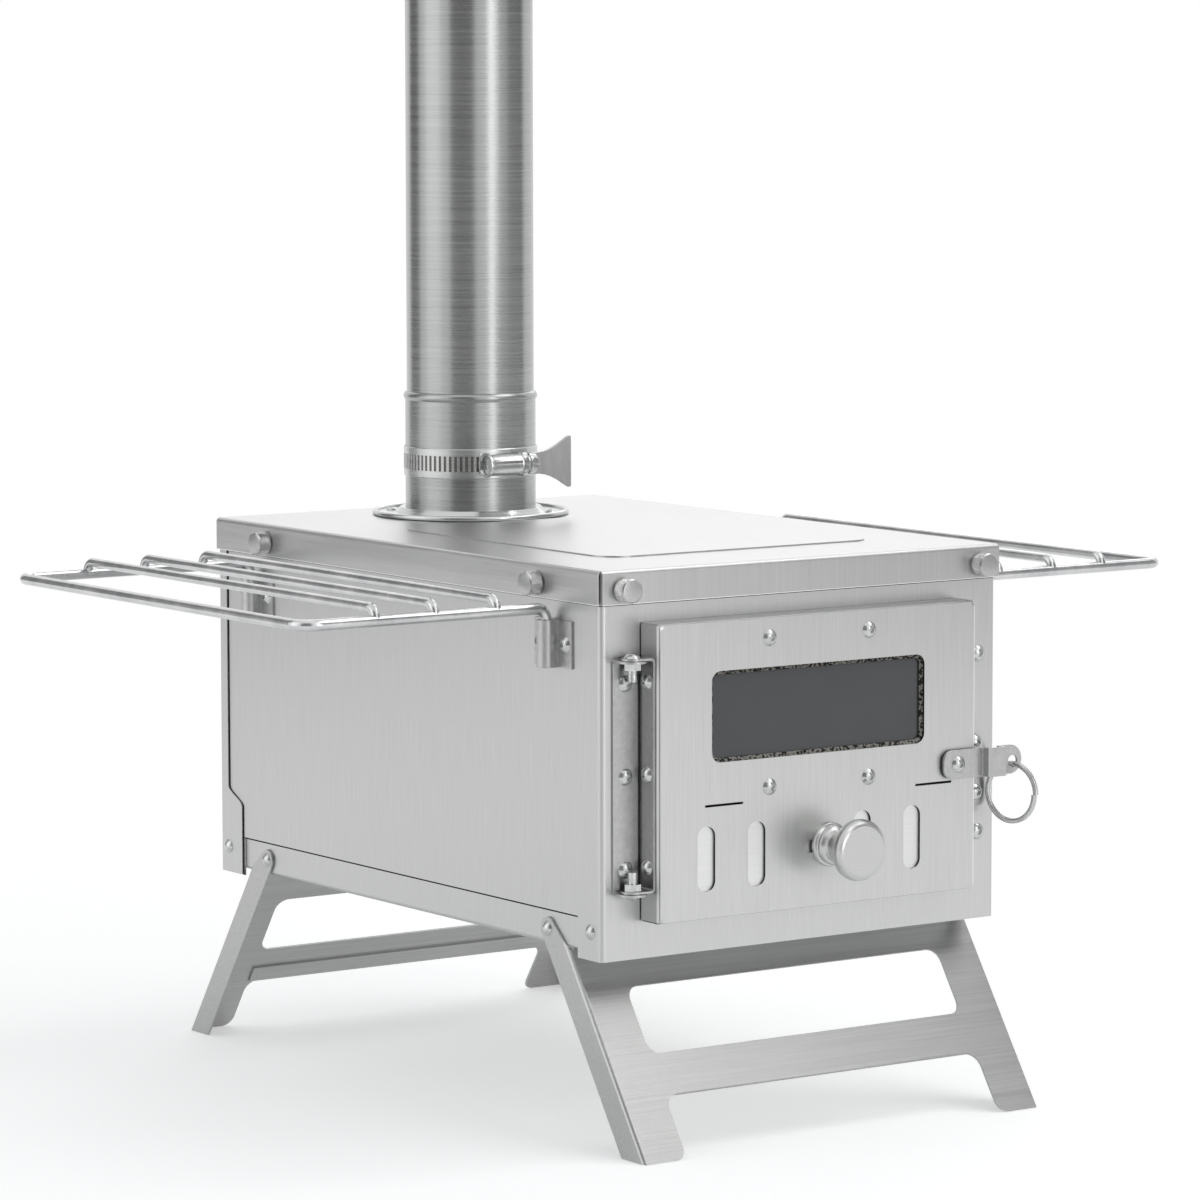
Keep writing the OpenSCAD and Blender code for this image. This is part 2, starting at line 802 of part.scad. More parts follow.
// Guy ears: a base bent to the pipe with two rivets, and a tab with a hole
module guy_ear() {
    r = flue_r + seat;
    difference() {
        union() {
            translate([r, 0, -ear_h / 2]) cube([ear_out - ear_h / 2, ear_t, ear_h]);
            translate([r + ear_out - ear_h / 2, ear_t, 0]) rotate([90, 0, 0]) cylinder(ear_t, r = ear_h / 2);
            intersection() {
                translate([0, 0, -ear_h / 2]) cylinder(ear_h, r = r + ear_t);
                translate([0, ear_t - ear_base, -ear_h / 2]) cube([2 * r, ear_base, ear_h]);
            }
            for (z = [-1, 1])
                rotate([0, 0, -asin(ear_rivet_y_share * ear_base / r)])
                    translate([r + ear_t * 0.8, 0, z * ear_rivet_z_share * ear_h]) rotate([0, 90, 0])
                        cylinder(ear_rivet_h, r = ear_rivet_r);
        }
        translate([0, 0, -ear_h]) cylinder(2 * ear_h, r = r);
        translate([r + ear_out - ear_h / 2, -over, 0]) rotate([-90, 0, 0]) cylinder(ear_t + 2 * over, r = ear_hole_r);
    }
}
module guy_ears() {
    color(steel) translate([0, flue_y, section_3_z + ear_z])
        for (a = [0, 180, 270]) rotate([0, 0, a]) guy_ear();
}

// Hose clamp round a socket: band and housing
module clamp_band() {
    band_r = socket_r_out + seat;
    worm_y = band_r + band_t + worm_off;
    difference() {
        union() {
            translate([0, 0, -band_w / 2]) cylinder(band_w, r = band_r + band_t);
            translate([-house_back, -worm_y, 0]) rotate([0, 90, 0]) cylinder(house_back + house_front, r = house_r);
            translate([-house_back, -worm_y, -house_w / 2]) cube([house_back + house_front, worm_y - band_r / 2, house_w]);
        }
        translate([0, 0, -band_w]) cylinder(2 * band_w, r = band_r);
        translate([-house_back - over, -worm_y, 0]) rotate([0, 90, 0])
            cylinder(house_back + house_front + 2 * over, r = worm_r + pin_gap);
    }
}
module clamp_wing() {
    worm_y = socket_r_out + seat + band_t + worm_off;
    front = house_front + seat;
    translate([0, -worm_y, 0]) {
        translate([-house_back + over, 0, 0]) rotate([0, 90, 0]) cylinder(house_back - over + front, r = worm_r);
        translate([front, 0, 0]) rotate([0, 90, 0]) cylinder(worm_collar, r = worm_collar_r);
        translate([0, wing_t / 2, 0]) rotate([90, 0, 0]) linear_extrude(wing_t)
            translate([front + worm_collar, 0]) polygon([
                [-worm_collar / 2, -wing_root / 2], [0, -wing_root / 2],
                [wing_waist_share * wing_len, -wing_root / 2 - wing_t / 2], [wing_len - wing_t, -wing_tip / 2],
                [wing_len, -wing_tip / 2 + wing_t], [wing_len, wing_tip / 2 - wing_t], [wing_len - wing_t, wing_tip / 2],
                [wing_waist_share * wing_len, wing_root / 2 + wing_t / 2],
                [0, wing_root / 2], [-worm_collar / 2, wing_root / 2]
            ]);
    }
}
module at_clamp(k) {
    translate([0, flue_y, (k == 1 ? section_1_z : k == 2 ? section_2_z : section_3_z) + band_heights[k - 1]])
        rotate([0, 0, clamp_turns[k - 1]]) children();
}
module clamp_band_1() { color(steel) at_clamp(1) clamp_band(); }
module clamp_band_2() { color(steel) at_clamp(2) clamp_band(); }
module clamp_band_3() { color(steel) at_clamp(3) clamp_band(); }
module clamp_wing_1() { color(bright) at_clamp(1) clamp_wing(); }
module clamp_wing_2() { color(bright) at_clamp(2) clamp_wing(); }
module clamp_wing_3() { color(bright) at_clamp(3) clamp_wing(); }

// Plate in the door's frame, between two depths behind its face
module door_plate(z0, t) { translate([0, 0, -z0 - t]) linear_extrude(t) children(); }
module window_places() {
    for (x = [-1, 1], z = [-1, 1])
        on_door(window_x + x * win_screw_x_share * window_w, window_z + z * (window_h / 2 + win_screw_z)) children();
}
module door_leaf_places() {
    for (k = [-1, 0, 1])
        translate([door_x0, hinge_y, leaf_z + leaf_t + leaf_gap + k * leaf_screw_share * leaf_h])
            rotate([0, -90, 0]) children();
}
module slot_shape() { slot(slot_w, slot_h); }

module door_panel() {
    color(steel) difference() {
        union() {
            on_door((door_x0 + door_x1) / 2, (door_z0 + door_z1) / 2)
                pan(door_w, door_h, door_d - door_back, door_t, door_bend, door_relief);
            for (s = slit_x_shares) on_door(door_x0 + s * door_w, door_z0 + slit_up) slide_lip();
        }
        on_door(window_x, window_z) door_plate(-over, door_t + 2 * over) round_rect(window_w, window_h, window_r);
        window_places() screw_hole();
        for (s = slot_x_shares) on_door(door_x0 + s * door_w, door_z0 + slot_up + slot_h / 2)
            door_plate(-over, door_t + 2 * over) slot_shape();
        for (s = slit_x_shares) on_door(door_x0 + s * door_w, door_z0 + slit_up)
            door_plate(-over, door_t + over) square([slit_l, slit_h], center = true);
        on_door(knob_x - travel / 2, knob_z) door_plate(-over, door_t + 2 * over)
            rotate(90) slot(2 * (stem_r + stem_gap), travel + 2 * (stem_r + stem_gap));
        on_door(latch_x, latch_z) screw_hole();
        door_leaf_places() screw_hole();
    }
}

// Lip pressed back under a slit, hooked over the top edge of the slide
module slide_lip() {
    reach = slide_gap + slide_t + slide_room + lip_t;
    translate([-slit_l / 2, -slit_h / 2 - lip_t, -door_t - reach]) cube([slit_l, lip_t, reach + door_t / 2]);
    translate([-slit_l / 2, -slit_h / 2 - lip_t - lip_h, -door_t - reach]) cube([slit_l, lip_t + lip_h, lip_t]);
}

module door_glass() {
    color(dark) on_door(window_x, window_z) door_plate(door_t + seat + gasket_t + seat, glass_t)
        round_rect(window_w + 2 * glass_lap, window_h + 2 * glass_lap, window_r);
}

module glass_gasket() {
    color(rope) on_door(window_x, window_z) door_plate(door_t + seat, gasket_t) difference() {
        round_rect(window_w + 2 * glass_lap, window_h + 2 * glass_lap, window_r);
        round_rect(window_w - 2 * gasket_show, window_h - 2 * gasket_show, window_r - gasket_show);
    }
}

module glass_retainer() {
    w = window_w + 2 * (glass_lap + glass_room);
    h = window_h + 2 * (glass_lap + glass_room);
    deep = gasket_t + glass_t + 2 * seat;
    color(steel) difference() {
        on_door(window_x, window_z) difference() {
            union() {
                door_plate(door_t + seat, retainer_t)
                    round_rect(w + 2 * (retainer_t + retainer_lip), window_h + 2 * (win_screw_z + retainer_edge), window_r);
                door_plate(door_t + seat, deep + retainer_t)
                    round_rect(w + 2 * retainer_t, h + 2 * retainer_t, window_r + retainer_t);
            }
            door_plate(door_t + seat - over, deep + over) round_rect(w, h, window_r);
            door_plate(door_t, deep + retainer_t + over)
                round_rect(window_w - 2 * gasket_show, window_h - 2 * gasket_show, window_r);
        }
        window_places() screw_hole(deep = door_t + retainer_t + over);
    }
}

module window_screws() {
    color(bright) window_places() translate([0, 0, seat]) button_screw(door_t + retainer_t + nut_h + tip_len);
}

// Nuts inside the door: window, hinge leaf and latch
module door_nuts() {
    color(bright) {
        window_places() translate([0, 0, -door_t - retainer_t - 2 * seat]) hex_nut();
        door_leaf_places() translate([0, 0, -door_t - seat]) hex_nut();
        on_door(latch_x, latch_z) translate([0, 0, -door_t - seat]) hex_nut();
    }
}

module air_slide() {
    x0 = door_x0 + slide_left;
    w = door_w - slide_left - slide_right;
    z0 = door_z0 + slide_foot;
    h = slit_up - slit_h / 2 - lip_t - slide_room - slide_foot;
    color(steel) difference() {
        on_door(x0 + w / 2, z0 + h / 2) door_plate(door_t + slide_gap, slide_t) square([w, h], center = true);
        for (s = slot_x_shares) on_door(door_x0 + s * door_w + travel, door_z0 + slot_up + slot_h / 2)
            door_plate(0, door_t + slide_gap + slide_t + over) slot_shape();
        on_door(knob_x, knob_z) screw_hole(stem_r + pin_gap, 2 * (door_t + slide_t) + over);
    }
}

module air_knob() {
    foot = slide_gap;
    tail = door_t + slide_gap + slide_t + seat + nut_h + tip_len;
    color(bright) on_door(knob_x, knob_z) {
        translate([0, 0, foot]) rotate_extrude()
            polygon(concat([[0, 0]], [for (p = knob_shares) [p[0] * knob_d / 2, p[1] * (knob_len - foot)]]));
        translate([0, 0, -tail]) cylinder(tail + knob_len / 2, r = stem_r);
    }
}

module knob_nut() {
    color(bright) on_door(knob_x, knob_z) translate([0, 0, -door_t - slide_gap - slide_t - seat - nut_h])
        difference() {
            cylinder(nut_h, r = nut_r + stem_gap, $fn = 6);
            translate([0, 0, -over]) cylinder(nut_h + 2 * over, r = stem_r + pin_gap);
        }
}

// Folded leaf on the wall, with its two ears round the pins
module hinge_body_leaf() {
    reach = hinge_off_y + leaf_w / 2;
    color(steel) difference() {
        intersection() {
            translate([hinge_x + leaf_w / 2, front_y - seat, leaf_z]) rotate([0, -90, 0])
                linear_extrude(leaf_w) channel_profile(leaf_h, reach, leaf_t, body_leaf_bend);
            translate([hinge_x, 0, leaf_z - leaf_h]) linear_extrude(2 * leaf_h) {
                translate([-leaf_w / 2, hinge_y]) square([leaf_w, hinge_off_y]);
                translate([0, hinge_y]) circle(leaf_w / 2);
            }
        }
        leaf_places() screw_hole(deep = leaf_t + over);
        translate([hinge_x, hinge_y, leaf_z - leaf_h]) cylinder(2 * leaf_h, r = screw_r + pin_gap);
    }
}

module hinge_door_leaf() {
    reach = hinge_off_x - seat + door_leaf_w / 2;
    z = leaf_z + leaf_t + leaf_gap;
    color(steel) difference() {
        intersection() {
            translate([door_x0 - seat, hinge_y - door_leaf_w / 2, z]) rotate([0, -90, -90])
                linear_extrude(door_leaf_w) channel_profile(leaf_h, reach, leaf_t, leaf_bend);
            translate([hinge_x, hinge_y, z - leaf_h]) linear_extrude(2 * leaf_h) {
                translate([0, -door_leaf_w / 2]) square([hinge_off_x, door_leaf_w]);
                circle(door_leaf_w / 2);
            }
        }
        door_leaf_places() screw_hole(deep = leaf_t + 2 * over);
        translate([hinge_x, hinge_y, z - leaf_h]) cylinder(2 * leaf_h, r = screw_r + pin_gap);
    }
}

// Pin screws: the upper one from above, the lower one from below
module hinge_pins() {
    color(bright) {
        translate([hinge_x, hinge_y, leaf_z + leaf_h / 2 + leaf_t + leaf_gap + seat]) button_screw(pin_len);
        translate([hinge_x, hinge_y, leaf_z - leaf_h / 2 - seat]) mirror([0, 0, 1]) button_screw(pin_len);
    }
}
module hinge_pin_nuts() {
    color(bright) {
        translate([hinge_x, hinge_y, leaf_z + leaf_h / 2 - leaf_t - seat]) hex_nut();
        translate([hinge_x, hinge_y, leaf_z - leaf_h / 2 + 2 * leaf_t + leaf_gap + seat])
            mirror([0, 0, 1]) hex_nut();
    }
}
module body_leaf_screws() {
    color(bright) leaf_places() translate([0, 0, leaf_t + 2 * seat])
        button_screw(leaf_t + sheet_t + nut_h + tip_len);
}
module door_leaf_screws() {
    color(bright) door_leaf_places() translate([0, 0, leaf_t + 2 * seat])
        button_screw(leaf_t + door_t + nut_h + tip_len);
}

// Latch arm: a bent strip with a raised channel that straddles the catch's tongue
module arm_outline() {
    h = arm_h / 2;
    end_x = arm_reach - h;
    translate([-arm_back + arm_corner, -h]) square([end_x + arm_back - arm_corner, arm_h]);
    translate([-arm_back, -h + arm_corner]) square([end_x + arm_back, arm_h - 2 * arm_corner]);
    for (s = [-1, 1]) translate([-arm_back + arm_corner, s * (h - arm_corner)]) circle(arm_corner);
    translate([end_x, 0]) circle(h);
}
module latch_arm() {
    c0 = channel_in;
    c1 = channel_in + channel_w;
    f = washer_t + 2 * seat;
    color(bright) difference() {
        intersection() {
            translate([latch_x, door_y, latch_z - arm_h]) linear_extrude(2 * arm_h) polygon([
                [-arm_back, -f], [c0, -f], [c0, -f - channel_d], [c1, -f - channel_d], [c1, -f], [arm_reach, -f],
                [arm_reach, -f - arm_t], [c1 + arm_t, -f - arm_t], [c1 + arm_t, -f - channel_d - arm_t],
                [c0 - arm_t, -f - channel_d - arm_t], [c0 - arm_t, -f - arm_t], [-arm_back, -f - arm_t]
            ]);
            on_door(latch_x, latch_z) linear_extrude(tongue_len) arm_outline();
        }
        on_door(latch_x, latch_z) screw_hole(screw_r + pin_gap, arm_h);
        on_door(latch_x + ring_x, latch_z - ring_drop) screw_hole(ring_hole_r, arm_h);
    }
}

// Pivot screw of the latch with its washer between the door and the arm
module latch_pivot_screw() {
    color(bright) on_door(latch_x, latch_z) {
        translate([0, 0, seat]) difference() {
            cylinder(washer_t, r = washer_r);
            translate([0, 0, -over]) cylinder(washer_t + 2 * over, r = screw_r + pin_gap);
        }
        translate([0, 0, washer_t + arm_t + 3 * seat])
            button_screw(washer_t + arm_t + 3 * seat + door_t + nut_h + tip_len);
    }
}

module latch_ring() {
    r = ring_d / 2 - ring_wire_r;
    top = latch_z - ring_drop - ring_hole_r + seat + ring_wire_r;
    color(bright) translate([latch_x + ring_x, door_y - washer_t - arm_t / 2, top - r])
        rotate([0, 0, -ring_turn]) rotate([90, 0, 0])
            rotate_extrude() translate([r, 0]) circle(ring_wire_r);
}

module latch_catch() {
    x0 = catch_x - tongue_in;
    z0 = latch_z - catch_low;
    color(bright) difference() {
        union() {
            on_front(x0, z0) translate([0, 0, seat]) linear_extrude(catch_t) difference() {
                union() {
                    square([catch_w - catch_r, catch_h]);
                    translate([0, catch_r]) square([catch_w, catch_h - catch_r]);
                    translate([catch_w - catch_r, catch_r]) circle(catch_r);
                }
                translate([catch_w, catch_h]) rotate(45) square(sqrt(2) * catch_cut, center = true);
            }
            on_front(catch_x, latch_z - tongue_low) translate([0, 0, seat]) cube([tongue_t, tongue_h, tongue_len - seat]);
        }
        catch_places() screw_hole(deep = catch_t + over);
    }
}

// Screws of the catch, and the two that fill the spare hinge holes
module front_wall_screws() {
    color(bright) {
        catch_places() translate([0, 0, catch_t + 2 * seat]) button_screw(catch_t + sheet_t + nut_h + tip_len);
        spare_places() translate([0, 0, seat]) button_screw(sheet_t + nut_h + tip_len);
    }
}

// Leg frame in its own frame: pivot line along X, foot down, outer face towards -Y
module leg_side() {
    d = norm([leg_start, leg_off]);
    a = atan2(leg_off, leg_start) + acos(leg_end_r / d);
    circle(leg_end_r);
    polygon([
        [0, -leg_end_r], [leg_len + leg_flange, -leg_end_r], [leg_len + leg_flange, leg_off],
        [leg_start, leg_off], [leg_end_r * leg_end_share * cos(a), leg_end_r * leg_end_share * sin(a)]
    ]);
}
module leg_frame() {
    inner = tray_w / 2 + leg_gap;
    outer = inner + leg_t;
    open_w = outer - leg_face;
    difference() {
        translate([0, -pivot_y, pivot_z]) rotate([-leg_lean, 0, 0]) difference() {
            union() {
                intersection() {
                    translate([0, -leg_off, -leg_len - leg_flange]) mirror([0, 1, 0])
                        linear_extrude(leg_len + leg_flange + 2 * leg_end_r)
                            channel_profile(2 * outer, leg_flange, leg_t, leg_bend);
                    translate([-outer - over, 0, 0]) rotate([90, 90, 90])
                        linear_extrude(2 * (outer + over)) mirror([0, 1]) leg_side();
                }
                translate([-open_w + leg_gap, -leg_off + leg_t - leg_t / 2, -leg_bar_end])
                    cube([2 * (open_w - leg_gap), leg_t * 1.5, hem_w]);
            }
            translate([-inner, -leg_off - over, -leg_start])
                cube([2 * inner, leg_flange + 2 * over, leg_start + 2 * leg_end_r]);
            translate([0, -leg_off - over, -(leg_win_top + leg_win_end) / 2]) rotate([-90, 0, 0])
                linear_extrude(leg_t + 2 * over) round_rect(2 * open_w, leg_win_end - leg_win_top, leg_win_r);
            translate([0, -leg_off - over, -leg_bar_end - leg_len]) rotate([-90, 0, 0])
                linear_extrude(leg_t + 2 * over) mirror([0, 1]) lower_opening(2 * open_w);
            rotate([0, 90, 0]) cylinder(4 * outer, r = screw_r + pin_gap, center = true);
        }
        translate([-body_w, -body_d, -leg_flange * 2]) cube([2 * body_w, 2 * body_d, leg_flange * 2]);
    }
}
// Opening between the legs below the crossbar, its upper corners rounded
module lower_opening(w) {
    translate([-w / 2, 0]) square([w, leg_len - leg_toe_r]);
    translate([-w / 2 + leg_toe_r, 0]) square([w - 2 * leg_toe_r, leg_len]);
    for (s = [-1, 1]) translate([s * (w / 2 - leg_toe_r), leg_len - leg_toe_r]) circle(leg_toe_r);
}
module front_leg_frame() { color(steel) leg_frame(); }
module rear_leg_frame() { color(steel) mirror([0, 1, 0]) leg_frame(); }

// Quarter bend of wire round the origin, from +X to +Y
module wire_bend(r, wire) { rotate_extrude(angle = 90) translate([r, 0]) circle(wire); }

// Rack wire on the right: two arms, an outer bar, ends bent down into the brackets
module rack_wire() {
    r = rack_d / 2;
    x1 = rack_x + rack_reach;
    z0 = bracket_z + bracket_h - rack_in;
    for (m = [0, 1]) mirror([0, m, 0]) {
        translate([rack_x, rack_y, z0]) cylinder(rack_z - rack_bend - z0, r = r);
        translate([rack_x + rack_bend, rack_y, rack_z - rack_bend]) rotate([90, 0, 0]) rotate([0, 0, 90])
            wire_bend(rack_bend, r);
        translate([rack_x + rack_bend, rack_y, rack_z]) rotate([0, 90, 0])
            cylinder(rack_reach - rack_bend - rack_corner, r = r);
        translate([x1 - rack_corner, rack_y - rack_corner, rack_z]) wire_bend(rack_corner, r);
    }
    translate([x1, -rack_y + rack_corner, rack_z]) rotate([-90, 0, 0])
        cylinder(2 * (rack_y - rack_corner), r = r);
}
module rack_bars() {
    r = bar_d / 2;
    z = rack_z + bar_rise;
    y = rack_y;
    difference() {
        for (s = bar_shares) translate([rack_x + s * rack_reach, 0, 0]) {
            translate([0, -y + bar_bend, z]) rotate([-90, 0, 0]) cylinder(2 * (y - bar_bend), r = r);
            for (m = [0, 1]) mirror([0, m, 0]) {
                translate([0, y - bar_bend, z - bar_bend]) rotate([90, 0, 90]) wire_bend(bar_bend, r);
                translate([0, y, rack_z]) cylinder(bar_rise - bar_bend, r = r);
            }
        }
        for (k = [-1, 1]) translate([rack_x, k * y, rack_z]) rotate([0, 90, 0])
            cylinder(rack_reach, r = rack_d / 2 + weld_gap);
    }
}
module rack_frame_left() { color(bright) mirror([1, 0, 0]) rack_wire(); }
module rack_frame_right() { color(bright) rack_wire(); }
module rack_bars_left() { color(bright) mirror([1, 0, 0]) rack_bars(); }
module rack_bars_right() { color(bright) rack_bars(); }

// Hat-shaped bracket: two wings on the wall and a sleeve for the rack's wire
module rack_bracket() {
    h = bracket_h;
    difference() {
        union() {
            translate([body_w / 2 + seat, -bracket_w / 2, 0]) cube([bracket_t, bracket_w, h]);
            translate([rack_x, 0, 0]) cylinder(h, r = bracket_r);
            translate([body_w / 2 + seat, -bracket_r, 0]) cube([bracket_off - seat, 2 * bracket_r, h]);
        }
        translate([rack_x, 0, -over]) cylinder(h + 2 * over, r = rack_d / 2 + wire_gap);
        for (k = [-1, 1]) translate([body_w / 2, k * bracket_screw, h / 2]) rotate([0, 90, 0])
            screw_hole(deep = bracket_t + over);
    }
}
module rack_brackets() {
    color(steel) for (m = [0, 1], k = [-1, 1])
        mirror([m, 0, 0]) translate([0, k * rack_y, bracket_z]) rack_bracket();
}
module bracket_screws() {
    color(bright) bracket_places() translate([0, 0, bracket_t + 2 * seat])
        button_screw(bracket_t + sheet_t + nut_h + tip_len);
}

echo(spring_turns_apart = coil_gap);

firebox_shell();
rear_panel();
floor_tray();
fire_grate();
body_rivets();
leg_rivets();
lid();
wall_nuts();
thumb_screw_1();
thumb_screw_2();
thumb_screw_3();
thumb_screw_4();
thumb_screw_5();
thumb_screw_6();
flue_collar();
collar_screws();
flue_pipe();
damper_pipe();
damper_blade();
damper_rod();
damper_spring();
damper_nut();
spark_arrestor();
arrestor_cap();
guy_ears();
clamp_band_1();
clamp_band_2();
clamp_band_3();
clamp_wing_1();
clamp_wing_2();
clamp_wing_3();
door_panel();
door_glass();
glass_gasket();
glass_retainer();
window_screws();
door_nuts();
air_slide();
air_knob();
knob_nut();
hinge_body_leaf();
hinge_door_leaf();
hinge_pins();
hinge_pin_nuts();
body_leaf_screws();
door_leaf_screws();
latch_arm();
latch_pivot_screw();
latch_ring();
latch_catch();
front_wall_screws();
front_leg_frame();
rear_leg_frame();
rack_frame_left();
rack_frame_right();
rack_bars_left();
rack_bars_right();
rack_brackets();
bracket_screws();
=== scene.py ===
import bpy
import math
from mathutils import Matrix, Vector


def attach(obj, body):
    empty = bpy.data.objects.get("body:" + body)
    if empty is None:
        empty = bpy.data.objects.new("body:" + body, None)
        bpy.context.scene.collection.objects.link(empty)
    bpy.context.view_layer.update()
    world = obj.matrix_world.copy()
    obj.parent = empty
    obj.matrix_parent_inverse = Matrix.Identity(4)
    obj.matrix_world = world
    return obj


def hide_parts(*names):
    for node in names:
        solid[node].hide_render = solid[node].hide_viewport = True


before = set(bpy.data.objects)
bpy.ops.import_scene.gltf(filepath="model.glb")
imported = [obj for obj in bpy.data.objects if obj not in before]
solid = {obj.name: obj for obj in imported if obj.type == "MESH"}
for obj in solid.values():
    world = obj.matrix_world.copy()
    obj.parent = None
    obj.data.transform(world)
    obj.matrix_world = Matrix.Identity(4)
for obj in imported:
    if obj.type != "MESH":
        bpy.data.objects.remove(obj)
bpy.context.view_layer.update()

# Studio: a white floor that keeps the soft shadow, white all round, a tall soft box in
# front, weaker ones on the left, above and behind, and a narrow one that lights the folds.
# Grey cards, which only polished metal sees, give the metal its dark bands.
bpy.context.scene.view_settings.view_transform = "Standard"


def linear(code):
    parts = [int(code[i:i + 2], 16) / 255 for i in (1, 3, 5)]
    return tuple(c / 12.92 if c <= 0.04045 else ((c + 0.055) / 1.055) ** 2.4 for c in parts) + (1.0,)


def add(tree, kind, sockets=(), **settings):
    """Adds a shader node. Each socket takes a value, or the output that feeds it."""
    made = tree.nodes.new("ShaderNode" + kind)
    for name, value in settings.items():
        setattr(made, name, value)
    for name, value in dict(sockets).items():
        if isinstance(value, bpy.types.NodeSocket):
            tree.links.new(value, made.inputs[name])
        else:
            made.inputs[name].default_value = value
    return made


def emptied(holder):
    """The node tree of a new world or material, with nothing in it."""
    holder.use_nodes = True
    holder.node_tree.nodes.clear()
    return holder.node_tree


def showing_rays(tree):
    """The light path, and 1 for rays that show the studio to the camera, in metal or through glass."""
    rays = add(tree, "LightPath").outputs
    seen = add(tree, "Math", {0: rays["Is Camera Ray"], 1: rays["Is Glossy Ray"]}, operation="MAXIMUM")
    seen = add(tree, "Math", {0: seen.outputs[0], 1: rays["Is Transmission Ray"]}, operation="MAXIMUM")
    return rays, seen.outputs[0]


world = bpy.data.worlds.new("studio")
bpy.context.scene.world = world
tree = emptied(world)
rays, seen = showing_rays(tree)
fill = add(tree, "Background", {"Color": linear("#f2f4f6"), "Strength": 0.55})
white = add(tree, "Background", {"Color": (1, 1, 1, 1), "Strength": 1.0})
both = add(tree, "MixShader", {0: seen, 1: fill.outputs[0], 2: white.outputs[0]})
add(tree, "OutputWorld", {0: both.outputs[0]})

# Near the object the floor is matt and a little lifted, farther out it is plain white.
floor_near, floor_far, floor_size = 0.28, 0.8, 40
camera_lift, metal_lift = 0.38, 0.25
floor_paint = bpy.data.materials.new("floor_paint")
tree = emptied(floor_paint)
rays, seen = showing_rays(tree)
reach = add(tree, "VectorMath", {0: add(tree, "TexCoord").outputs["Object"]}, operation="LENGTH")
reach = add(tree, "MapRange", {"Value": reach.outputs["Value"], 1: floor_near, 2: floor_far, 3: 0.0, 4: 1.0})
lift = add(tree, "Math", {0: rays["Is Glossy Ray"], 1: metal_lift}, operation="MULTIPLY")
lift = add(tree, "Math", {0: rays["Is Camera Ray"], 1: camera_lift, 2: lift.outputs[0]},
           operation="MULTIPLY_ADD")
matt = add(tree, "BsdfDiffuse", {"Color": linear("#f0f0f0")})
glow = add(tree, "Emission", {"Color": (1, 1, 1, 1), "Strength": lift.outputs[0]})
near = add(tree, "AddShader", {0: matt.outputs[0], 1: glow.outputs[0]})
far = add(tree, "Emission", {"Color": (1, 1, 1, 1), "Strength": seen})
both = add(tree, "MixShader", {0: reach.outputs[0], 1: near.outputs[0], 2: far.outputs[0]})
add(tree, "OutputMaterial", {0: both.outputs[0]})
bpy.ops.object.select_all(action="DESELECT")
bpy.ops.mesh.primitive_plane_add(size=floor_size, location=(0, 0, -0.0002))
floor = bpy.context.object
floor.name = "studio_floor"
floor.data.materials.append(floor_paint)


def bearing(degrees, distance, height):
    """A place in the studio: 0 is towards the camera, positive to the camera's right."""
    toward, right = Vector((-0.5699, -0.8217, 0)), Vector((0.8217, -0.5699, 0))
    a = math.radians(degrees)
    return (toward * math.cos(a) + right * math.sin(a)) * distance + Vector((0, 0.02, height))


def soft_box(name, place, aim, width, height, brightness):
    bpy.ops.object.light_add(type="AREA", location=place)
    lamp = bpy.context.object
    lamp.name = name
    lamp.data.shape = "RECTANGLE"
    lamp.data.size, lamp.data.size_y = width, height
    lamp.data.energy = brightness * math.pi * width * height
    lamp.rotation_euler = (Vector(aim) - Vector(place)).to_track_quat("-Z", "Y").to_euler()
    lamp.visible_camera = False


soft_box("front_box", bearing(46, 2.2, 0.9), (0, 0, 0.4), 0.8, 1.9, 1.8)
soft_box("left_box", bearing(-70, 2.0, 0.95), (0, 0, 0.4), 1.2, 1.7, 0.55)
soft_box("upper_box", (1.35, -0.95, 1.95), (0, 0, 0.1), 1.7, 1.5, 1.2)
soft_box("rear_box", bearing(172, 2.4, 1.7), (0, 0, 0.3), 1.6, 1.6, 0.95)
soft_box("fold_box", (1.13, -0.36, 1.88), (0, -0.16, 0.25), 0.3, 1.0, 2.4)

for name, turn, distance, width, low, high, grey in (
        ("card_left_back", -118, 1.6, 0.85, 0.10, 1.9, "#8a8a8a"),
        ("card_front", -13, 1.5, 1.25, 0.02, 1.9, "#8a8a8a"),
        ("card_right", 103, 1.5, 0.75, 0.12, 1.9, "#8a8a8a"),
        ("card_upper_right", 62, 1.8, 1.0, 0.6, 1.6, "#8a8a8a"),
        ("card_near", 92, 0.75, 0.4, 0.32, 0.8, "#a0a0a0"),
        ("card_low", 78, 0.75, 0.9, 0.16, 0.34, "#bcbcbc")):
    card_paint = bpy.data.materials.new(name + "_paint")
    tree = emptied(card_paint)
    shade = add(tree, "Emission", {"Color": linear(grey), "Strength": 1.0})
    add(tree, "OutputMaterial", {0: shade.outputs[0]})
    place = bearing(turn, distance, (low + high) / 2)
    bpy.ops.object.select_all(action="DESELECT")
    bpy.ops.mesh.primitive_plane_add(size=1, location=place)
    card = bpy.context.object
    card.name = name
    card.scale = (width, high - low, 1)
    card.rotation_euler = Vector((-place.x, -place.y, 0)).to_track_quat("Z", "Y").to_euler()
    card.data.materials.append(card_paint)
    card.visible_camera = card.visible_diffuse = card.visible_shadow = card.visible_transmission = False

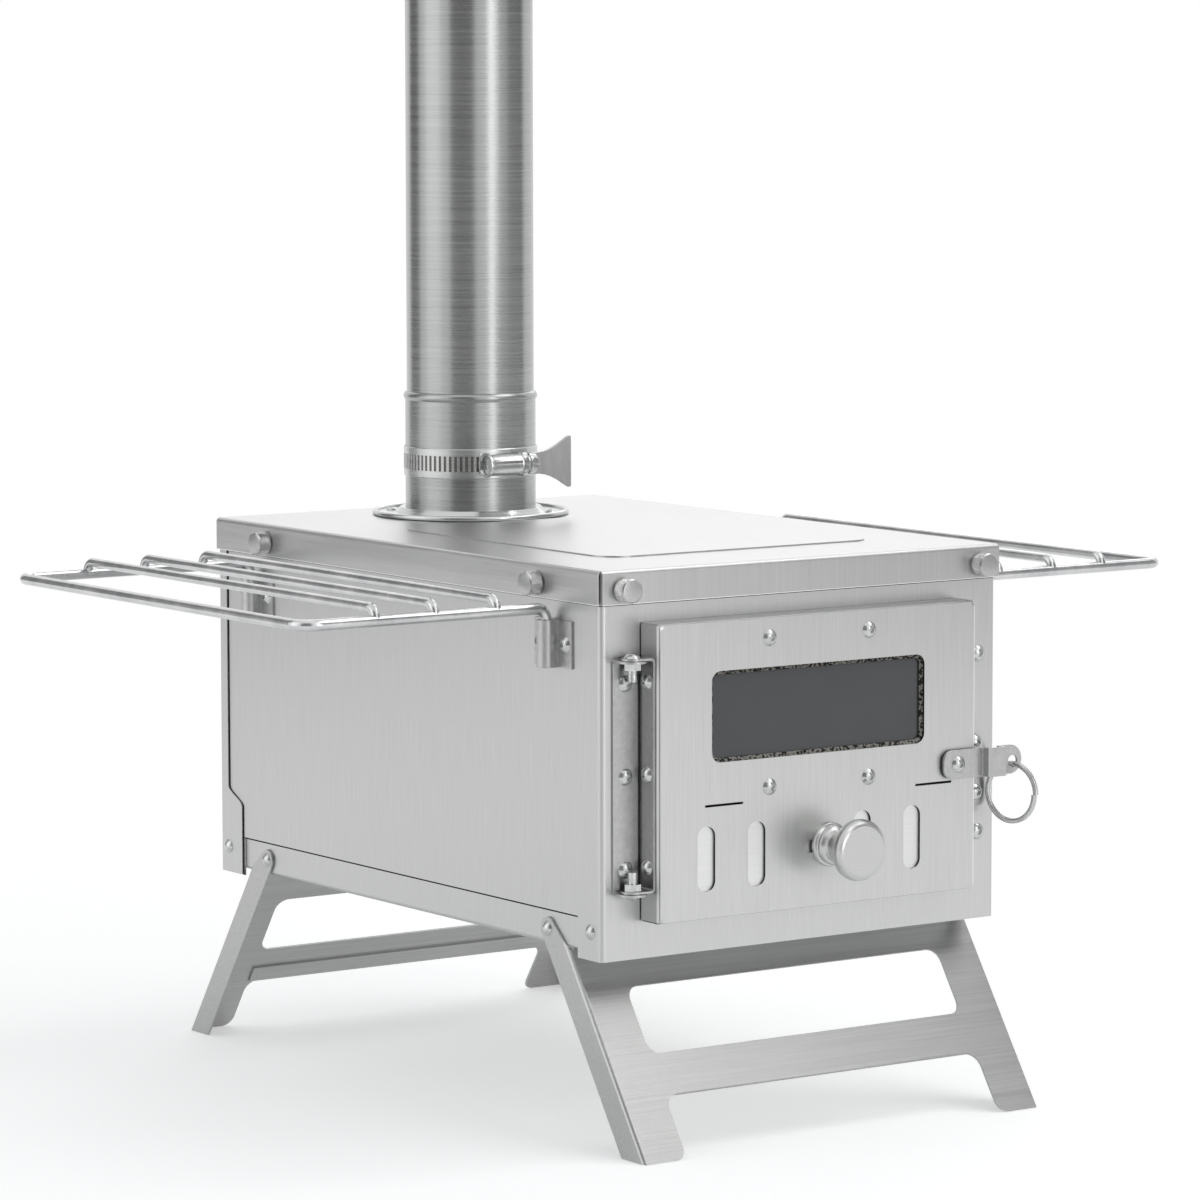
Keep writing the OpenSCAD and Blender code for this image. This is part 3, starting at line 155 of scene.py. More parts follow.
# The camera of the photograph, as fitted to the edges of the firebox.
yaw, pitch, roll = (math.radians(a) for a in (34.74, 6.01, -0.09))
focal_px, frame_px = 5295, 1200
ahead = Vector((math.sin(yaw) * math.cos(pitch), math.cos(yaw) * math.cos(pitch), -math.sin(pitch)))
level = Vector((math.cos(yaw), -math.sin(yaw), 0))
above = level.cross(ahead)
across = math.cos(roll) * level + math.sin(roll) * above
upward = -math.sin(roll) * level + math.cos(roll) * above
turned_to = Matrix((across, upward, -ahead)).transposed().to_4x4()
turned_to.translation = Vector((-1.3739, -1.9835, 0.4711))
bpy.ops.object.camera_add()
camera = bpy.context.object
camera.name = "photo_camera"
camera.matrix_world = turned_to
camera.data.sensor_width = 36
camera.data.lens = focal_px / frame_px * 36
camera.data.clip_end = 60
bpy.context.scene.camera = camera

# Firebox: walls, rear panel and floor tray of 0.8 to 1 mm stainless sheet, folded and
# riveted. The sheet is belt brushed on the coil, so its grain stands upright. The brush
# lines are 0.1 mm apart; they are drawn near 1 mm apart to show.
mm = 0.001


def brushed(name, light, dark, rough, grain, depth, blotch=7.0, sheen_turn=None, turned_about=None):
    """Brushed stainless: two greys in streaks, gloss that follows them, faint handling marks.
    A turned face has its streaks as rings about a level axis through turned_about, in millimetres."""
    made = bpy.data.materials.new(name)
    tree = emptied(made)
    place = add(tree, "TexCoord").outputs["Object"]
    lines = add(tree, "Mapping", {"Vector": place, "Scale": grain})
    if turned_about:
        lines.inputs["Location"].default_value = [-a * mm * g for a, g in zip(turned_about, grain)]
        lines = add(tree, "VectorMath", {0: lines.outputs[0]}, operation="LENGTH")
        lines = add(tree, "CombineXYZ", {"X": lines.outputs["Value"]})
    fine = add(tree, "TexNoise", {"Vector": lines.outputs[0], "Scale": 1.0, "Detail": 4.0, "Roughness": 0.65})
    clouds = add(tree, "TexNoise", {"Vector": place, "Scale": blotch, "Detail": 3.0, "Roughness": 0.55})
    tone = add(tree, "MapRange", {"Value": fine.outputs[0], 1: 0.3, 2: 0.7, 3: 0.0, 4: 0.82})
    tone = add(tree, "Math", {0: clouds.outputs[0], 1: 0.3, 2: tone.outputs[0]}, operation="MULTIPLY_ADD",
               use_clamp=True)
    colour = add(tree, "Mix", {"Factor": tone.outputs[0], 6: linear(dark), 7: linear(light)}, data_type="RGBA")
    gloss = add(tree, "MapRange", {"Value": fine.outputs[0], 1: 0.3, 2: 0.7, 3: rough[0], 4: rough[1]})
    gloss = add(tree, "Math", {0: clouds.outputs[0], 1: 0.09, 2: gloss.outputs[0]},
                operation="MULTIPLY_ADD")
    relief = add(tree, "Bump", {"Height": fine.outputs[0], "Strength": depth, "Distance": 0.0003})
    shader = add(tree, "BsdfPrincipled", {"Base Color": colour.outputs[2], "Metallic": 1.0,
                                          "Roughness": gloss.outputs[0], "Normal": relief.outputs[0]})
    if sheen_turn is not None:
        round_z = add(tree, "Tangent", direction_type="RADIAL", axis="Z")
        tree.links.new(round_z.outputs[0], shader.inputs["Tangent"])
        shader.inputs["Anisotropic"].default_value = 0.55
        shader.inputs["Anisotropic Rotation"].default_value = sheen_turn
    add(tree, "OutputMaterial", {0: shader.outputs[0]})
    return made


def marked(finish, name, tone, rough, marks):
    """A copy of a finish that has another tone and roughness where marks gives 1: a painted
    shadow in a lap, a cut face in its own grey with painted shade, or a painted highlight on a fold."""
    made = finish.copy()
    made.name = name
    tree = made.node_tree
    shader = next(n for n in tree.nodes if n.type == "BSDF_PRINCIPLED")
    factor = marks(tree, add(tree, "SeparateXYZ", {0: add(tree, "TexCoord").outputs["Object"]}).outputs)
    before = shader.inputs["Base Color"].links[0].from_socket
    colour = add(tree, "Mix", {"Factor": factor, 6: before, 7: linear(tone)}, data_type="RGBA")
    tree.links.new(colour.outputs[2], shader.inputs["Base Color"])
    before = shader.inputs["Roughness"].links[0].from_socket
    gloss = add(tree, "Mix", {"Factor": factor, 2: before, 3: rough})
    tree.links.new(gloss.outputs[0], shader.inputs["Roughness"])
    return made


def strip(tree, value, top, width):
    """1 where a coordinate is within the width below the top, both in millimetres."""
    return add(tree, "Math", {0: value, 1: (top - width / 2) * mm, 2: width / 2 * mm},
               operation="COMPARE").outputs[0]


def either(tree, one, other):
    return add(tree, "Math", {0: one, 1: other}, operation="MAXIMUM").outputs[0]


def wall_lap_shadows(tree, place):
    """Painted shadow lines: one under the lid's skirt, and one along the front edge of the rear
    panel, which runs 12 mm farther forward at its foot than above, with a double curve between."""
    skirt_z, foot_z, upper_z, foot_y, upper_y = 234.4, 114.03, 123.03, 138.0, 150.2
    edge = add(tree, "MapRange", {"Value": place["Z"], 1: foot_z * mm, 2: upper_z * mm, 3: foot_y * mm,
                                  4: upper_y * mm}, interpolation_type="SMOOTHSTEP")
    behind = add(tree, "Math", {0: place["Y"], 1: edge.outputs[0]}, operation="SUBTRACT")
    return either(tree, strip(tree, place["Z"], skirt_z, 0.4), strip(tree, behind.outputs[0], 0, 0.9))


def tray_lap_shadow(tree, place):
    """A painted shadow under the lower edge of the side wall, where it laps the tray's flange."""
    return strip(tree, place["Z"], 99.85, 0.9)


def dress(finish, *names):
    for name in names:
        solid[name].data.materials.clear()
        solid[name].data.materials.append(finish)


def select_only(piece):
    bpy.ops.object.select_all(action="DESELECT")
    piece.select_set(True)
    bpy.context.view_layer.objects.active = piece


def copied(piece):
    """A copy with a mesh of its own."""
    twin = piece.copy()
    twin.data = piece.data.copy()
    bpy.context.collection.objects.link(twin)
    return twin


def settle(piece, name, finish, slot, body, *stands_for, smooth=40):
    """Applies the piece's place, smooths it, hands it to its body and hides the CAD nodes it stands for. slot
    is not used.
    """
    select_only(piece)
    bpy.ops.object.transform_apply(location=True, rotation=True, scale=True)
    bpy.ops.object.shade_smooth_by_angle(angle=math.radians(smooth))
    piece.name = piece.data.name = name
    if finish:
        piece.data.materials.clear()
        piece.data.materials.append(finish)
    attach(piece, body)
    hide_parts(*stands_for)
    return piece


def deburred(name, label, slot, body, edge, finish, foot_x=None):
    """A copy of a solid sheet part with its edges broken by some tenths of a millimetre, so that
    they catch the light. foot_x is where the rounded inner corners of two feet are."""
    piece = copied(solid[name])
    select_only(piece)
    piece.hide_render = piece.hide_viewport = False
    bpy.ops.object.mode_set(mode="EDIT")
    bpy.ops.mesh.select_all(action="SELECT")
    bpy.ops.mesh.customdata_custom_splitnormals_clear()
    bpy.ops.mesh.mark_sharp(clear=True)
    bpy.ops.mesh.remove_doubles(threshold=2e-6)
    bpy.ops.mesh.dissolve_limited(angle_limit=math.radians(0.3))
    bpy.ops.mesh.normals_make_consistent(inside=False)
    if foot_x:
        bpy.ops.mesh.select_all(action="DESELECT")
        bpy.ops.object.mode_set(mode="OBJECT")
        for point in piece.data.vertices:
            point.select = point.co.z < 0.1 * mm and abs(abs(point.co.x) - foot_x * mm) < 0.1 * mm
        bpy.ops.object.mode_set(mode="EDIT")
        bpy.ops.mesh.bevel(offset=5 * mm, segments=6, affect="EDGES")
    bpy.ops.object.mode_set(mode="OBJECT")
    rounding = piece.modifiers.new("deburr", "BEVEL")
    rounding.width, rounding.segments, rounding.limit_method = edge * mm, 2, "ANGLE"
    rounding.angle_limit = math.radians(50)
    rounding.miter_outer = "MITER_ARC"
    bpy.ops.object.modifier_apply(modifier="deburr")
    settle(piece, label, finish, slot, body, name, smooth=50)
    flats = piece.modifiers.new("flat_faces", "WEIGHTED_NORMAL")
    flats.keep_sharp, flats.weight = True, 100
    bpy.ops.object.modifier_apply(modifier="flat_faces")


# The walls and the tray carry painted shadow lines in a near black where one sheet laps another.
painted_lap_shadow_tone = "#2a2927"
wall_sheet = brushed("brushed_stainless_upright_grain", "#d0d1d0", "#c5c6c5", (0.28, 0.35), (1300, 1300, 34),
                     0.1)
shell_sheet = marked(wall_sheet, "brushed_stainless_walls_with_painted_lap_shadows", painted_lap_shadow_tone, 0.7, wall_lap_shadows)
tray_sheet = marked(wall_sheet, "brushed_stainless_tray_with_painted_lap_shadow", painted_lap_shadow_tone, 0.7, tray_lap_shadow)
dress(shell_sheet, "firebox_shell")
dress(wall_sheet, "rear_panel")
dress(tray_sheet, "floor_tray")
deburred("firebox_shell", "deburred_firebox_walls", "brushed_sheet", "stove", 0.2, shell_sheet)
deburred("rear_panel", "deburred_rear_panel", "brushed_sheet", "stove", 0.25, wall_sheet)

# Rivets, nuts and screws, here and below: cold-headed stainless, barrel polished, with a
# little wear in the hexagon sockets and on the crowns.
bright_screw = brushed("barrel_polished_stainless", "#dcdddd", "#b2b3b3", (0.12, 0.24), (500, 500, 500),
                       0.08, 60.0)
dress(bright_screw, "body_rivets", "wall_nuts")

# Grate: mill-finish stainless plate that has taken a first heat, duller and a little
# straw. It lies loose on the tray.
grate_plate = brushed("heat_dulled_grate_plate", "#8e8a83", "#6b675f", (0.42, 0.6), (60, 60, 60), 0.3, 22.0)
dress(grate_plate, "fire_grate")

# Leg frames: blanked from stainless sheet with level grain, flanged along the outer edges
# and riveted to the walls so that they fold flat under the tray.
# Their greys are set a little darker than the walls', as painted shade for their place low under the body.
leg_sheet = brushed("brushed_stainless_level_grain", "#c6c7c6", "#b0b1b0", (0.24, 0.34), (12, 1000, 1000),
                    0.16)
dress(leg_sheet, "front_leg_frame", "rear_leg_frame")
dress(bright_screw, "leg_rivets")
deburred("front_leg_frame", "deburred_front_legs", "brushed_sheet", "front_legs", 0.25, leg_sheet, foot_x=85)
deburred("rear_leg_frame", "deburred_rear_legs", "brushed_sheet", "rear_legs", 0.25, leg_sheet, foot_x=85)

# Lid: one blank of the same brushed sheet, its field pressed up 0.6 mm and its skirt
# folded down on all four sides. The grain runs from front to rear over the top and on
# down the front skirt, and level along the two long skirts.
lid_sheet = brushed("brushed_stainless_lid", "#cbcccb", "#bdbebd", (0.27, 0.35), (1300, 30, 1300), 0.1)
tree = lid_sheet.node_tree
mapping = next(n for n in tree.nodes if n.type == "MAPPING")
place = add(tree, "SeparateXYZ", {0: add(tree, "TexCoord").outputs["Object"]})
facing = add(tree, "SeparateXYZ", {0: add(tree, "NewGeometry").outputs["True Normal"]})
ends = add(tree, "Math", {0: facing.outputs["Y"]}, operation="ABSOLUTE")
ends = add(tree, "Math", {0: ends.outputs[0], 1: 0.5}, operation="GREATER_THAN")
sides = add(tree, "Math", {0: 1.0, 1: ends.outputs[0]}, operation="SUBTRACT")
level_z = add(tree, "Math", {0: place.outputs["Z"], 1: sides.outputs[0]}, operation="MULTIPLY")
folded = add(tree, "CombineXYZ", {"X": place.outputs["X"], "Y": place.outputs["Y"], "Z": level_z.outputs[0]})
tree.links.new(folded.outputs[0], mapping.inputs["Vector"])


def skirt_edge_highlight(tree, place):
    """A painted highlight along the cut edge at the foot of the skirts."""
    return strip(tree, place["Z"], 234.85, 0.7)


# The cut edge at the foot of the skirts is painted near white, as a painted highlight.
lid_sheet = marked(lid_sheet, "brushed_stainless_lid_painted_edge_highlight", "#fafafa", 0.5, skirt_edge_highlight)
dress(lid_sheet, "lid")
deburred("lid", "deburred_lid", "brushed_sheet", "stove", 0.25, lid_sheet)

# Thumb screws: turned stainless heads 11 mm across with a diamond knurl rolled round the
# rim and a faced front, on M4 shanks. Six hold the lid's skirt to the walls.


def drawn(outline, rises):
    """Extrudes a circle of so many sides, or a plate, up Z. Each step gives its height and its
    two half widths in millimetres."""
    z, a, b = rises[0]
    bpy.ops.object.select_all(action="DESELECT")
    if outline == "plate":
        bpy.ops.mesh.primitive_plane_add(size=2 * mm)
    else:
        bpy.ops.mesh.primitive_circle_add(vertices=outline, radius=mm)
    bpy.ops.object.mode_set(mode="EDIT")
    bpy.ops.mesh.select_all(action="SELECT")
    bpy.ops.transform.resize(value=(a, b, 1), center_override=(0, 0, 0))
    bpy.ops.transform.translate(value=(0, 0, z * mm))
    for z1, a1, b1 in rises[1:]:
        bpy.ops.mesh.extrude_region_move(TRANSFORM_OT_translate={"value": (0, 0, (z1 - z) * mm)})
        bpy.ops.transform.resize(value=(a1 / a, b1 / b, 1), center_override=(0, 0, 0))
        z, a, b = z1, a1, b1
    return bpy.context.object


def closed(piece):
    """Merges doubled points, closes open ends and turns the faces outward."""
    bpy.ops.mesh.select_all(action="SELECT")
    bpy.ops.mesh.remove_doubles(threshold=2e-6)
    bpy.ops.mesh.fill_holes(sides=0)
    bpy.ops.mesh.normals_make_consistent(inside=False)
    bpy.ops.object.mode_set(mode="OBJECT")
    return piece


def turned(profile, sides=64):
    """Turns (radius, height) pairs in millimetres round Z, as on a lathe."""
    return closed(drawn(sides, [(z, r, r) for r, z in profile]))


def joined(pieces):
    select_only(pieces[0])
    for piece in pieces[1:]:
        piece.select_set(True)
    bpy.ops.object.join()
    return bpy.context.object


def knurl(columns, rows, radius, pitch, low, point):
    """A rim of diamonds round Z: each is the two triangles left of an edge between squares,
    raised to a point in the middle."""
    bpy.ops.object.select_all(action="DESELECT")
    bpy.ops.mesh.primitive_circle_add(vertices=columns, radius=radius * mm, location=(0, 0, low * mm))
    rim = bpy.context.object
    bpy.ops.object.mode_set(mode="EDIT")
    bpy.ops.mesh.select_all(action="SELECT")
    for row in range(rows):
        bpy.ops.mesh.extrude_region_move(TRANSFORM_OT_translate={"value": (0, 0, pitch * mm)})
    bpy.ops.mesh.select_all(action="SELECT")
    bpy.ops.mesh.normals_make_consistent(inside=False)
    bpy.ops.mesh.mark_seam()
    bpy.ops.mesh.poke()
    bpy.ops.mesh.select_mode(type="EDGE")
    bpy.ops.mesh.select_all(action="DESELECT")
    bpy.ops.object.mode_set(mode="OBJECT")
    for edge in rim.data.edges:
        edge.select = edge.use_seam
    bpy.ops.object.mode_set(mode="EDIT")
    bpy.ops.mesh.dissolve_edges(use_verts=False)
    bpy.ops.mesh.select_mode(type="VERT")
    bpy.ops.mesh.select_all(action="SELECT")
    bpy.ops.mesh.mark_seam(clear=True)
    bpy.ops.mesh.poke(offset=point * mm)
    bpy.ops.object.mode_set(mode="OBJECT")
    return rim


knurl_rim = brushed("rolled_stainless_knurl", "#dededd", "#8e8f8e", (0.1, 0.18), (300, 300, 300), 0.02, 20.0)
knurl_steel = brushed("turned_stainless_head", "#c6c7c6", "#b4b5b4", (0.2, 0.3), (2400, 2400, 2400),
                      0.03, 20.0)
rim = knurl(26, 4, 5.05, 1.3, 0.9, 0.44)
rim.data.materials.append(knurl_rim)
core = turned([(2.0, -6.7), (2.0, 0), (4.6, 0), (5.2, 0.45), (5.24, 0.9), (4.9, 0.95), (4.9, 6.05),
               (5.24, 6.1), (5.2, 6.5), (4.7, 6.95), (4.4, 7.0), (0.1, 7.0)], 48)
core.data.materials.append(knurl_steel)
pattern = joined([core, rim])
screw_z, seat = 240.828, 1.85
front, left, right = (90, 0, 0), (0, -90, 0), (0, 90, 0)
for number, (x, y, turn) in enumerate(((-96.5, -157, front), (96.5, -157, front), (-107, -112, left),
                                       (-107, 112, left), (107, -112, right), (107, 112, right)), 1):
    head = copied(pattern)
    head.rotation_euler = [math.radians(a) for a in turn]
    off = Vector((0, 0, seat)) @ head.rotation_euler.to_matrix().transposed()
    head.location = Vector((x, y, screw_z)) * mm + off * mm
    settle(head, "thumb_screw_head_%d" % number, None, "bright_hardware", "thumb_screw_%d" % number,
           "thumb_screw_%d" % number, smooth=30)
bpy.data.objects.remove(pattern)

# Door: a pan folded from the brushed sheet, with a window, air slots and two pressed slits.
# In the right part of its front the cut faces that look left are dark grey, their own
# laser-cut grey with painted shadow of the gap behind. The fold along its lower edge has a
# painted shade line, and the fold down its right side has a painted highlight.


def cut_faces_painted_shade(tree, place):
    """Painted shade: cut faces in the door's front that look left, dark grey for their own laser-cut grey
    and the painted shadow of the gap behind, and a painted shade line along the fold at its lower edge.
    """
    facing = add(tree, "SeparateXYZ", {0: add(tree, "NewGeometry").outputs["True Normal"]})
    to_left = add(tree, "Math", {0: facing.outputs["X"], 1: -0.5}, operation="LESS_THAN")
    inside = add(tree, "Math", {0: place["X"], 1: 0, 2: 80 * mm}, operation="COMPARE")
    cut = add(tree, "Math", {0: to_left.outputs[0], 1: inside.outputs[0]}, operation="MULTIPLY")
    return either(tree, cut.outputs[0], strip(tree, place["Z"], 98.55, 0.52))


def right_fold_highlight(tree, place):
    """A painted highlight along the fold down the latch side."""
    return strip(tree, place["X"], 84.5, 0.8)


# Painted shade on the left-looking cut faces and on the lower fold, partly the cut faces' own grey.
door_sheet = marked(wall_sheet, "brushed_stainless_door_cut_edges_painted_shade", "#3c3c3b", 0.6, cut_faces_painted_shade)
# The fold down the right side is painted near white, as a painted highlight.
door_sheet = marked(door_sheet, "brushed_stainless_door_painted_fold_highlight", "#fcfcfc", 0.4, right_fold_highlight)
dress(door_sheet, "door_panel")
dress(wall_sheet, "glass_retainer")
dress(bright_screw, "window_screws", "door_nuts")
deburred("door_panel", "deburred_door", "brushed_sheet", "door", 0.2, door_sheet)

# Window: 4 mm ceramic glass, grey throughout, fire polished. It is nearly opaque from
# outside, with a soft sheen of the studio on it.
smoked = bpy.data.materials.new("grey_ceramic_glass")
tree = emptied(smoked)
place = add(tree, "TexCoord").outputs["Object"]
haze = add(tree, "TexNoise", {"Vector": place, "Scale": 35.0, "Detail": 3.0})
tint = add(tree, "Mix", {"Factor": haze.outputs[0], 6: linear("#5c5d5f"), 7: linear("#646567")},
           data_type="RGBA")
film = add(tree, "MapRange", {"Value": haze.outputs[0], 3: 0.08, 4: 0.17})
shader = add(tree, "BsdfPrincipled", {"Base Color": tint.outputs[2], "Roughness": film.outputs[0], "IOR": 1.5,
                                      "Transmission Weight": 0.12, "Specular IOR Level": 0.35})
add(tree, "OutputMaterial", {0: shader.outputs[0]})
dress(smoked, "door_glass")

# Window seal: a flat plait of ceramic fibre yarn, 6 mm wide and 1.5 mm thick, pressed
# between the door plate and the glass all round. White yarn with black tracer threads.
yarn = bpy.data.materials.new("ceramic_fibre_plait")
tree = emptied(yarn)
place = add(tree, "TexCoord").outputs["Object"]
twist = add(tree, "TexVoronoi", {"Vector": place, "Scale": 1100.0, "Randomness": 0.7})
dots = add(tree, "TexNoise", {"Vector": place, "Scale": 700.0, "Detail": 2.0})
mark = add(tree, "MapRange", {"Value": dots.outputs[0], 1: 0.46, 2: 0.54})
colour = add(tree, "Mix", {"Factor": mark.outputs[0], 6: linear("#2b2a28"), 7: linear("#96948e")},
             data_type="RGBA")
relief = add(tree, "Bump", {"Height": twist.outputs["Distance"], "Strength": 0.8, "Distance": 0.0004})
shader = add(tree, "BsdfPrincipled", {"Base Color": colour.outputs[2], "Roughness": 0.95,
                                      "Normal": relief.outputs[0], "Specular IOR Level": 0.2})
add(tree, "OutputMaterial", {0: shader.outputs[0]})

rope = drawn(16, [(0, 3.0, 0.75)])
half_x, half_z, corner = 57.5 + 1.3, 19.65 + 1.3, 5.8
window_x, window_z, door_y, seat = -1.5, 184.9, -171, 1.8
bpy.ops.transform.rotate(value=math.radians(90), orient_axis="Y", center_override=(0, 0, 0))
bpy.ops.transform.translate(value=((-half_x + corner) * mm, 0, half_z * mm))
at, heading = Vector((-half_x + corner, 0, half_z)), Vector((1, 0, 0))
for run in (half_x, half_z, half_x, half_z):
    toward = Vector((heading.z, 0, -heading.x))
    step = heading * (2 * run - 2 * corner)
    bpy.ops.mesh.extrude_region_move(TRANSFORM_OT_translate={"value": step * mm})
    at = at + step
    bpy.ops.mesh.spin(steps=8, angle=math.radians(-90), center=(at + toward * corner) * mm,
                      axis=heading.cross(toward))
    at, heading = at + (toward + heading) * corner, toward
closed(rope)
rope.location = (window_x * mm, door_y * mm + seat * mm, window_z * mm)
settle(rope, "window_seal_plait", yarn, "fibre_gasket", "door", "glass_gasket", smooth=60)

# Air slide and knob: the slide is brushed along its run and hangs behind the slots. The
# knob is turned from 27 mm stainless bar, a flanged button with a grooved neck, and is
# screwed on the slide's stud.
slide_sheet = brushed("brushed_stainless_air_slide", "#e6e7e6", "#dcdddc", (0.36, 0.46), (34, 1300, 1300),
                      0.1)
dress(slide_sheet, "air_slide")
turned_knob = brushed("turned_stainless_knob", "#cccdcc", "#c4c5c4", (0.17, 0.25), (1500, 0, 1500),
                      0.015, 12.0, turned_about=(3.96, 0, 124.93))
dress(turned_knob, "air_knob")
dress(bright_screw, "knob_nut")

# Hinge: two leaves blanked and bent from 1 to 1.5 mm strip and tumbled, so they are satin
# with no clear grain, turning on two pin screws.
satin_strip = brushed("tumbled_stainless_strip", "#c4c5c4", "#b0b1b0", (0.24, 0.34), (420, 420, 420),
                      0.1, 30.0)
dress(satin_strip, "hinge_body_leaf", "hinge_door_leaf")
dress(bright_screw, "hinge_pins", "hinge_pin_nuts", "body_leaf_screws", "door_leaf_screws")
deburred("hinge_body_leaf", "deburred_wall_leaf", "satin_fittings", "stove", 0.2, satin_strip)
deburred("hinge_door_leaf", "deburred_door_leaf", "satin_fittings", "door", 0.2, satin_strip)

# Latch: an arm joggled over its catch on the wall, of the same tumbled strip. It turns on
# a washered screw in the door.
dress(satin_strip, "latch_arm", "latch_catch")
dress(bright_screw, "latch_pivot_screw", "front_wall_screws")
deburred("latch_arm", "deburred_latch", "satin_fittings", "latch_arm", 0.3, satin_strip)

# Latch ring: a split ring, two turns of flattened spring wire pressed together, which
# hangs in the hole at the end of the latch. Nickel bright, with rubbed faces.


def wound(profile, turns, rise, steps, name, finish, place, facing, body, node):
    """Winds a profile round Z with the Screw modifier, closes its ends and puts it in place."""
    coils = profile.modifiers.new("coils", "SCREW")
    coils.angle, coils.screw_offset = math.radians(360 * turns), rise * mm
    coils.steps = coils.render_steps = steps
    bpy.ops.object.modifier_apply(modifier="coils")
    bpy.ops.object.mode_set(mode="EDIT")
    closed(profile)
    profile.rotation_euler = facing
    profile.location = [c * mm for c in place]
    settle(profile, name, finish, "bright_hardware", body, node, smooth=50)


ring_wire = brushed("split_ring_wire", "#dadada", "#bebebe", (0.14, 0.24), (90, 90, 90), 0.04, 50.0)
bpy.ops.object.select_all(action="DESELECT")
bpy.ops.mesh.primitive_circle_add(vertices=12, radius=0.6 * mm, rotation=(math.pi / 2, 0, 0))
ring = bpy.context.object
ring.scale = (1.8, 1, 1)
ring.location = (12.85 * mm, 0, -1.2 * mm)
bpy.ops.object.transform_apply(location=True, rotation=True, scale=True)
wound(ring, 2, 2.4, 144, "split_ring", ring_wire, (104.0, -172.75, 139.678),
      (math.pi / 2, 0, math.radians(-75)), "latch_ring", "latch_ring")

# Side racks: drawn stainless wire, electropolished after welding, mirror like with faint
# die lines along it. The wire ends stand in sleeves bent from tumbled strip.
drawn_wire = brushed("electropolished_wire", "#dededf", "#bcbdbe", (0.13, 0.22), (60, 60, 60), 0.05, 18.0)
dress(drawn_wire, "rack_frame_left", "rack_frame_right", "rack_bars_left", "rack_bars_right")
dress(satin_strip, "rack_brackets")
dress(bright_screw, "bracket_screws")
deburred("rack_brackets", "deburred_rack_sleeves", "satin_fittings", "stove", 0.2, satin_strip)

# Collar: spun from 1.2 mm stainless, its rim rolled over and a groove pressed round the
# neck, polished on the lathe and screwed to the lid.
spun_collar = brushed("spun_polished_collar", "#d3d4d4", "#b9baba", (0.12, 0.22), (14, 14, 900), 0.08)
dress(spun_collar, "flue_collar")
dress(bright_screw, "collar_screws")

# Flue pipes: 0.6 mm stainless sheet rolled to a tube and seam welded, then polished on a
# spinning mandrel, which leaves rings of fine lines and keeps reflections as upright bands.
# The spark arrestor has three ears of tumbled strip for guy lines.
pipe_sheet = brushed("ring_brushed_stainless_pipe", "#b4b5b5", "#9c9d9d", (0.19, 0.28), (16, 16, 1100),
                     0.16, 9.0, sheen_turn=0.25)
dress(pipe_sheet, "flue_pipe", "damper_pipe", "spark_arrestor", "arrestor_cap")
dress(satin_strip, "guy_ears")

# Damper: a blade of the pipe's sheet on a wire rod with a bent handle. Five turns of 1.2 mm
# stainless spring wire round the rod push on the pipe, so that the blade stays where it is
# set. The spring is bright drawn, with a straw tint.
flue_y = 105
dress(pipe_sheet, "damper_blade")
dress(drawn_wire, "damper_rod")
dress(bright_screw, "damper_nut")
spring_wire = brushed("straw_spring_wire", "#cfc9b8", "#a59f90", (0.18, 0.3), (300, 300, 300), 0.06, 60.0)
bpy.ops.object.select_all(action="DESELECT")
bpy.ops.mesh.primitive_circle_add(vertices=12, radius=0.6 * mm, location=(3.2 * mm, 0, 0),
                                  rotation=(math.pi / 2, 0, 0))
spring = bpy.context.object
bpy.ops.object.transform_apply(location=True, rotation=True, scale=True)
wound(spring, 5, 14, 180, "damper_spring_wire", spring_wire, (30.95, flue_y, 724.078),
      (0, math.radians(90), 0), "damper", "damper_spring")

# Hose clamps: 0.7 mm stainless band with 76 slots rolled into it, held by a folded
# housing with the worm screw inside. A fishtail wing is riveted to the screw's end.
band_steel = brushed("bright_rolled_band", "#d2d3d3", "#b9baba", (0.18, 0.27), (14, 14, 1100), 0.08)
# The floors of the band's slots are painted a dark grey, as painted shade in the slots.
slot_floor_painted_shade = brushed("worm_slot_floor_painted_shade", "#7f7d79", "#676561", (0.35, 0.5), (200, 200, 200), 0.1)
house_steel = brushed("folded_clamp_housing", "#dcdddd", "#c2c3c3", (0.08, 0.16), (120, 120, 120), 0.04, 40.0)
wing_steel = brushed("blanked_fishtail_wing", "#c6c7c6", "#b2b3b2", (0.3, 0.4), (500, 500, 60), 0.1)
cells = 2 * 76  # slots and ribs in turn
outer, lip, inner = 31.55, 31.3, 30.87
slot_half, band_half, lip_half = 3.6, 6.7, 7.0
worm_y = -35.95 * mm
band = drawn(cells, [(-slot_half, outer, outer), (slot_half, outer, outer)])
bpy.ops.mesh.select_all(action="SELECT")
bpy.ops.mesh.normals_make_consistent(inside=False)
bpy.ops.mesh.select_mode(type="FACE")
bpy.ops.object.mode_set(mode="OBJECT")
band.data.materials.append(band_steel)
band.data.materials.append(slot_floor_painted_shade)
for face in band.data.polygons:
    cell = math.atan2(face.center.y, face.center.x) / math.tau * cells + cells
    face.select = int(cell) % 2 == 0
bpy.ops.object.mode_set(mode="EDIT")
bpy.ops.mesh.inset(thickness=0.1 * mm, depth=-0.3 * mm, use_individual=True)
band.active_material_index = 1
bpy.ops.object.material_slot_assign()
bpy.ops.mesh.select_mode(type="EDGE")
bpy.ops.mesh.select_all(action="DESELECT")
bpy.ops.mesh.select_non_manifold()
for value in ((1, 1, band_half / slot_half), (lip / outer, lip / outer, lip_half / band_half),
              (inner / lip, inner / lip, 1)):
    bpy.ops.mesh.extrude_region_move()
    bpy.ops.transform.resize(value=value, center_override=(0, 0, 0))
bpy.ops.mesh.bridge_edge_loops()
bpy.ops.mesh.select_mode(type="VERT")
bpy.ops.mesh.select_all(action="SELECT")
bpy.ops.mesh.normals_make_consistent(inside=False)
bpy.ops.object.mode_set(mode="OBJECT")

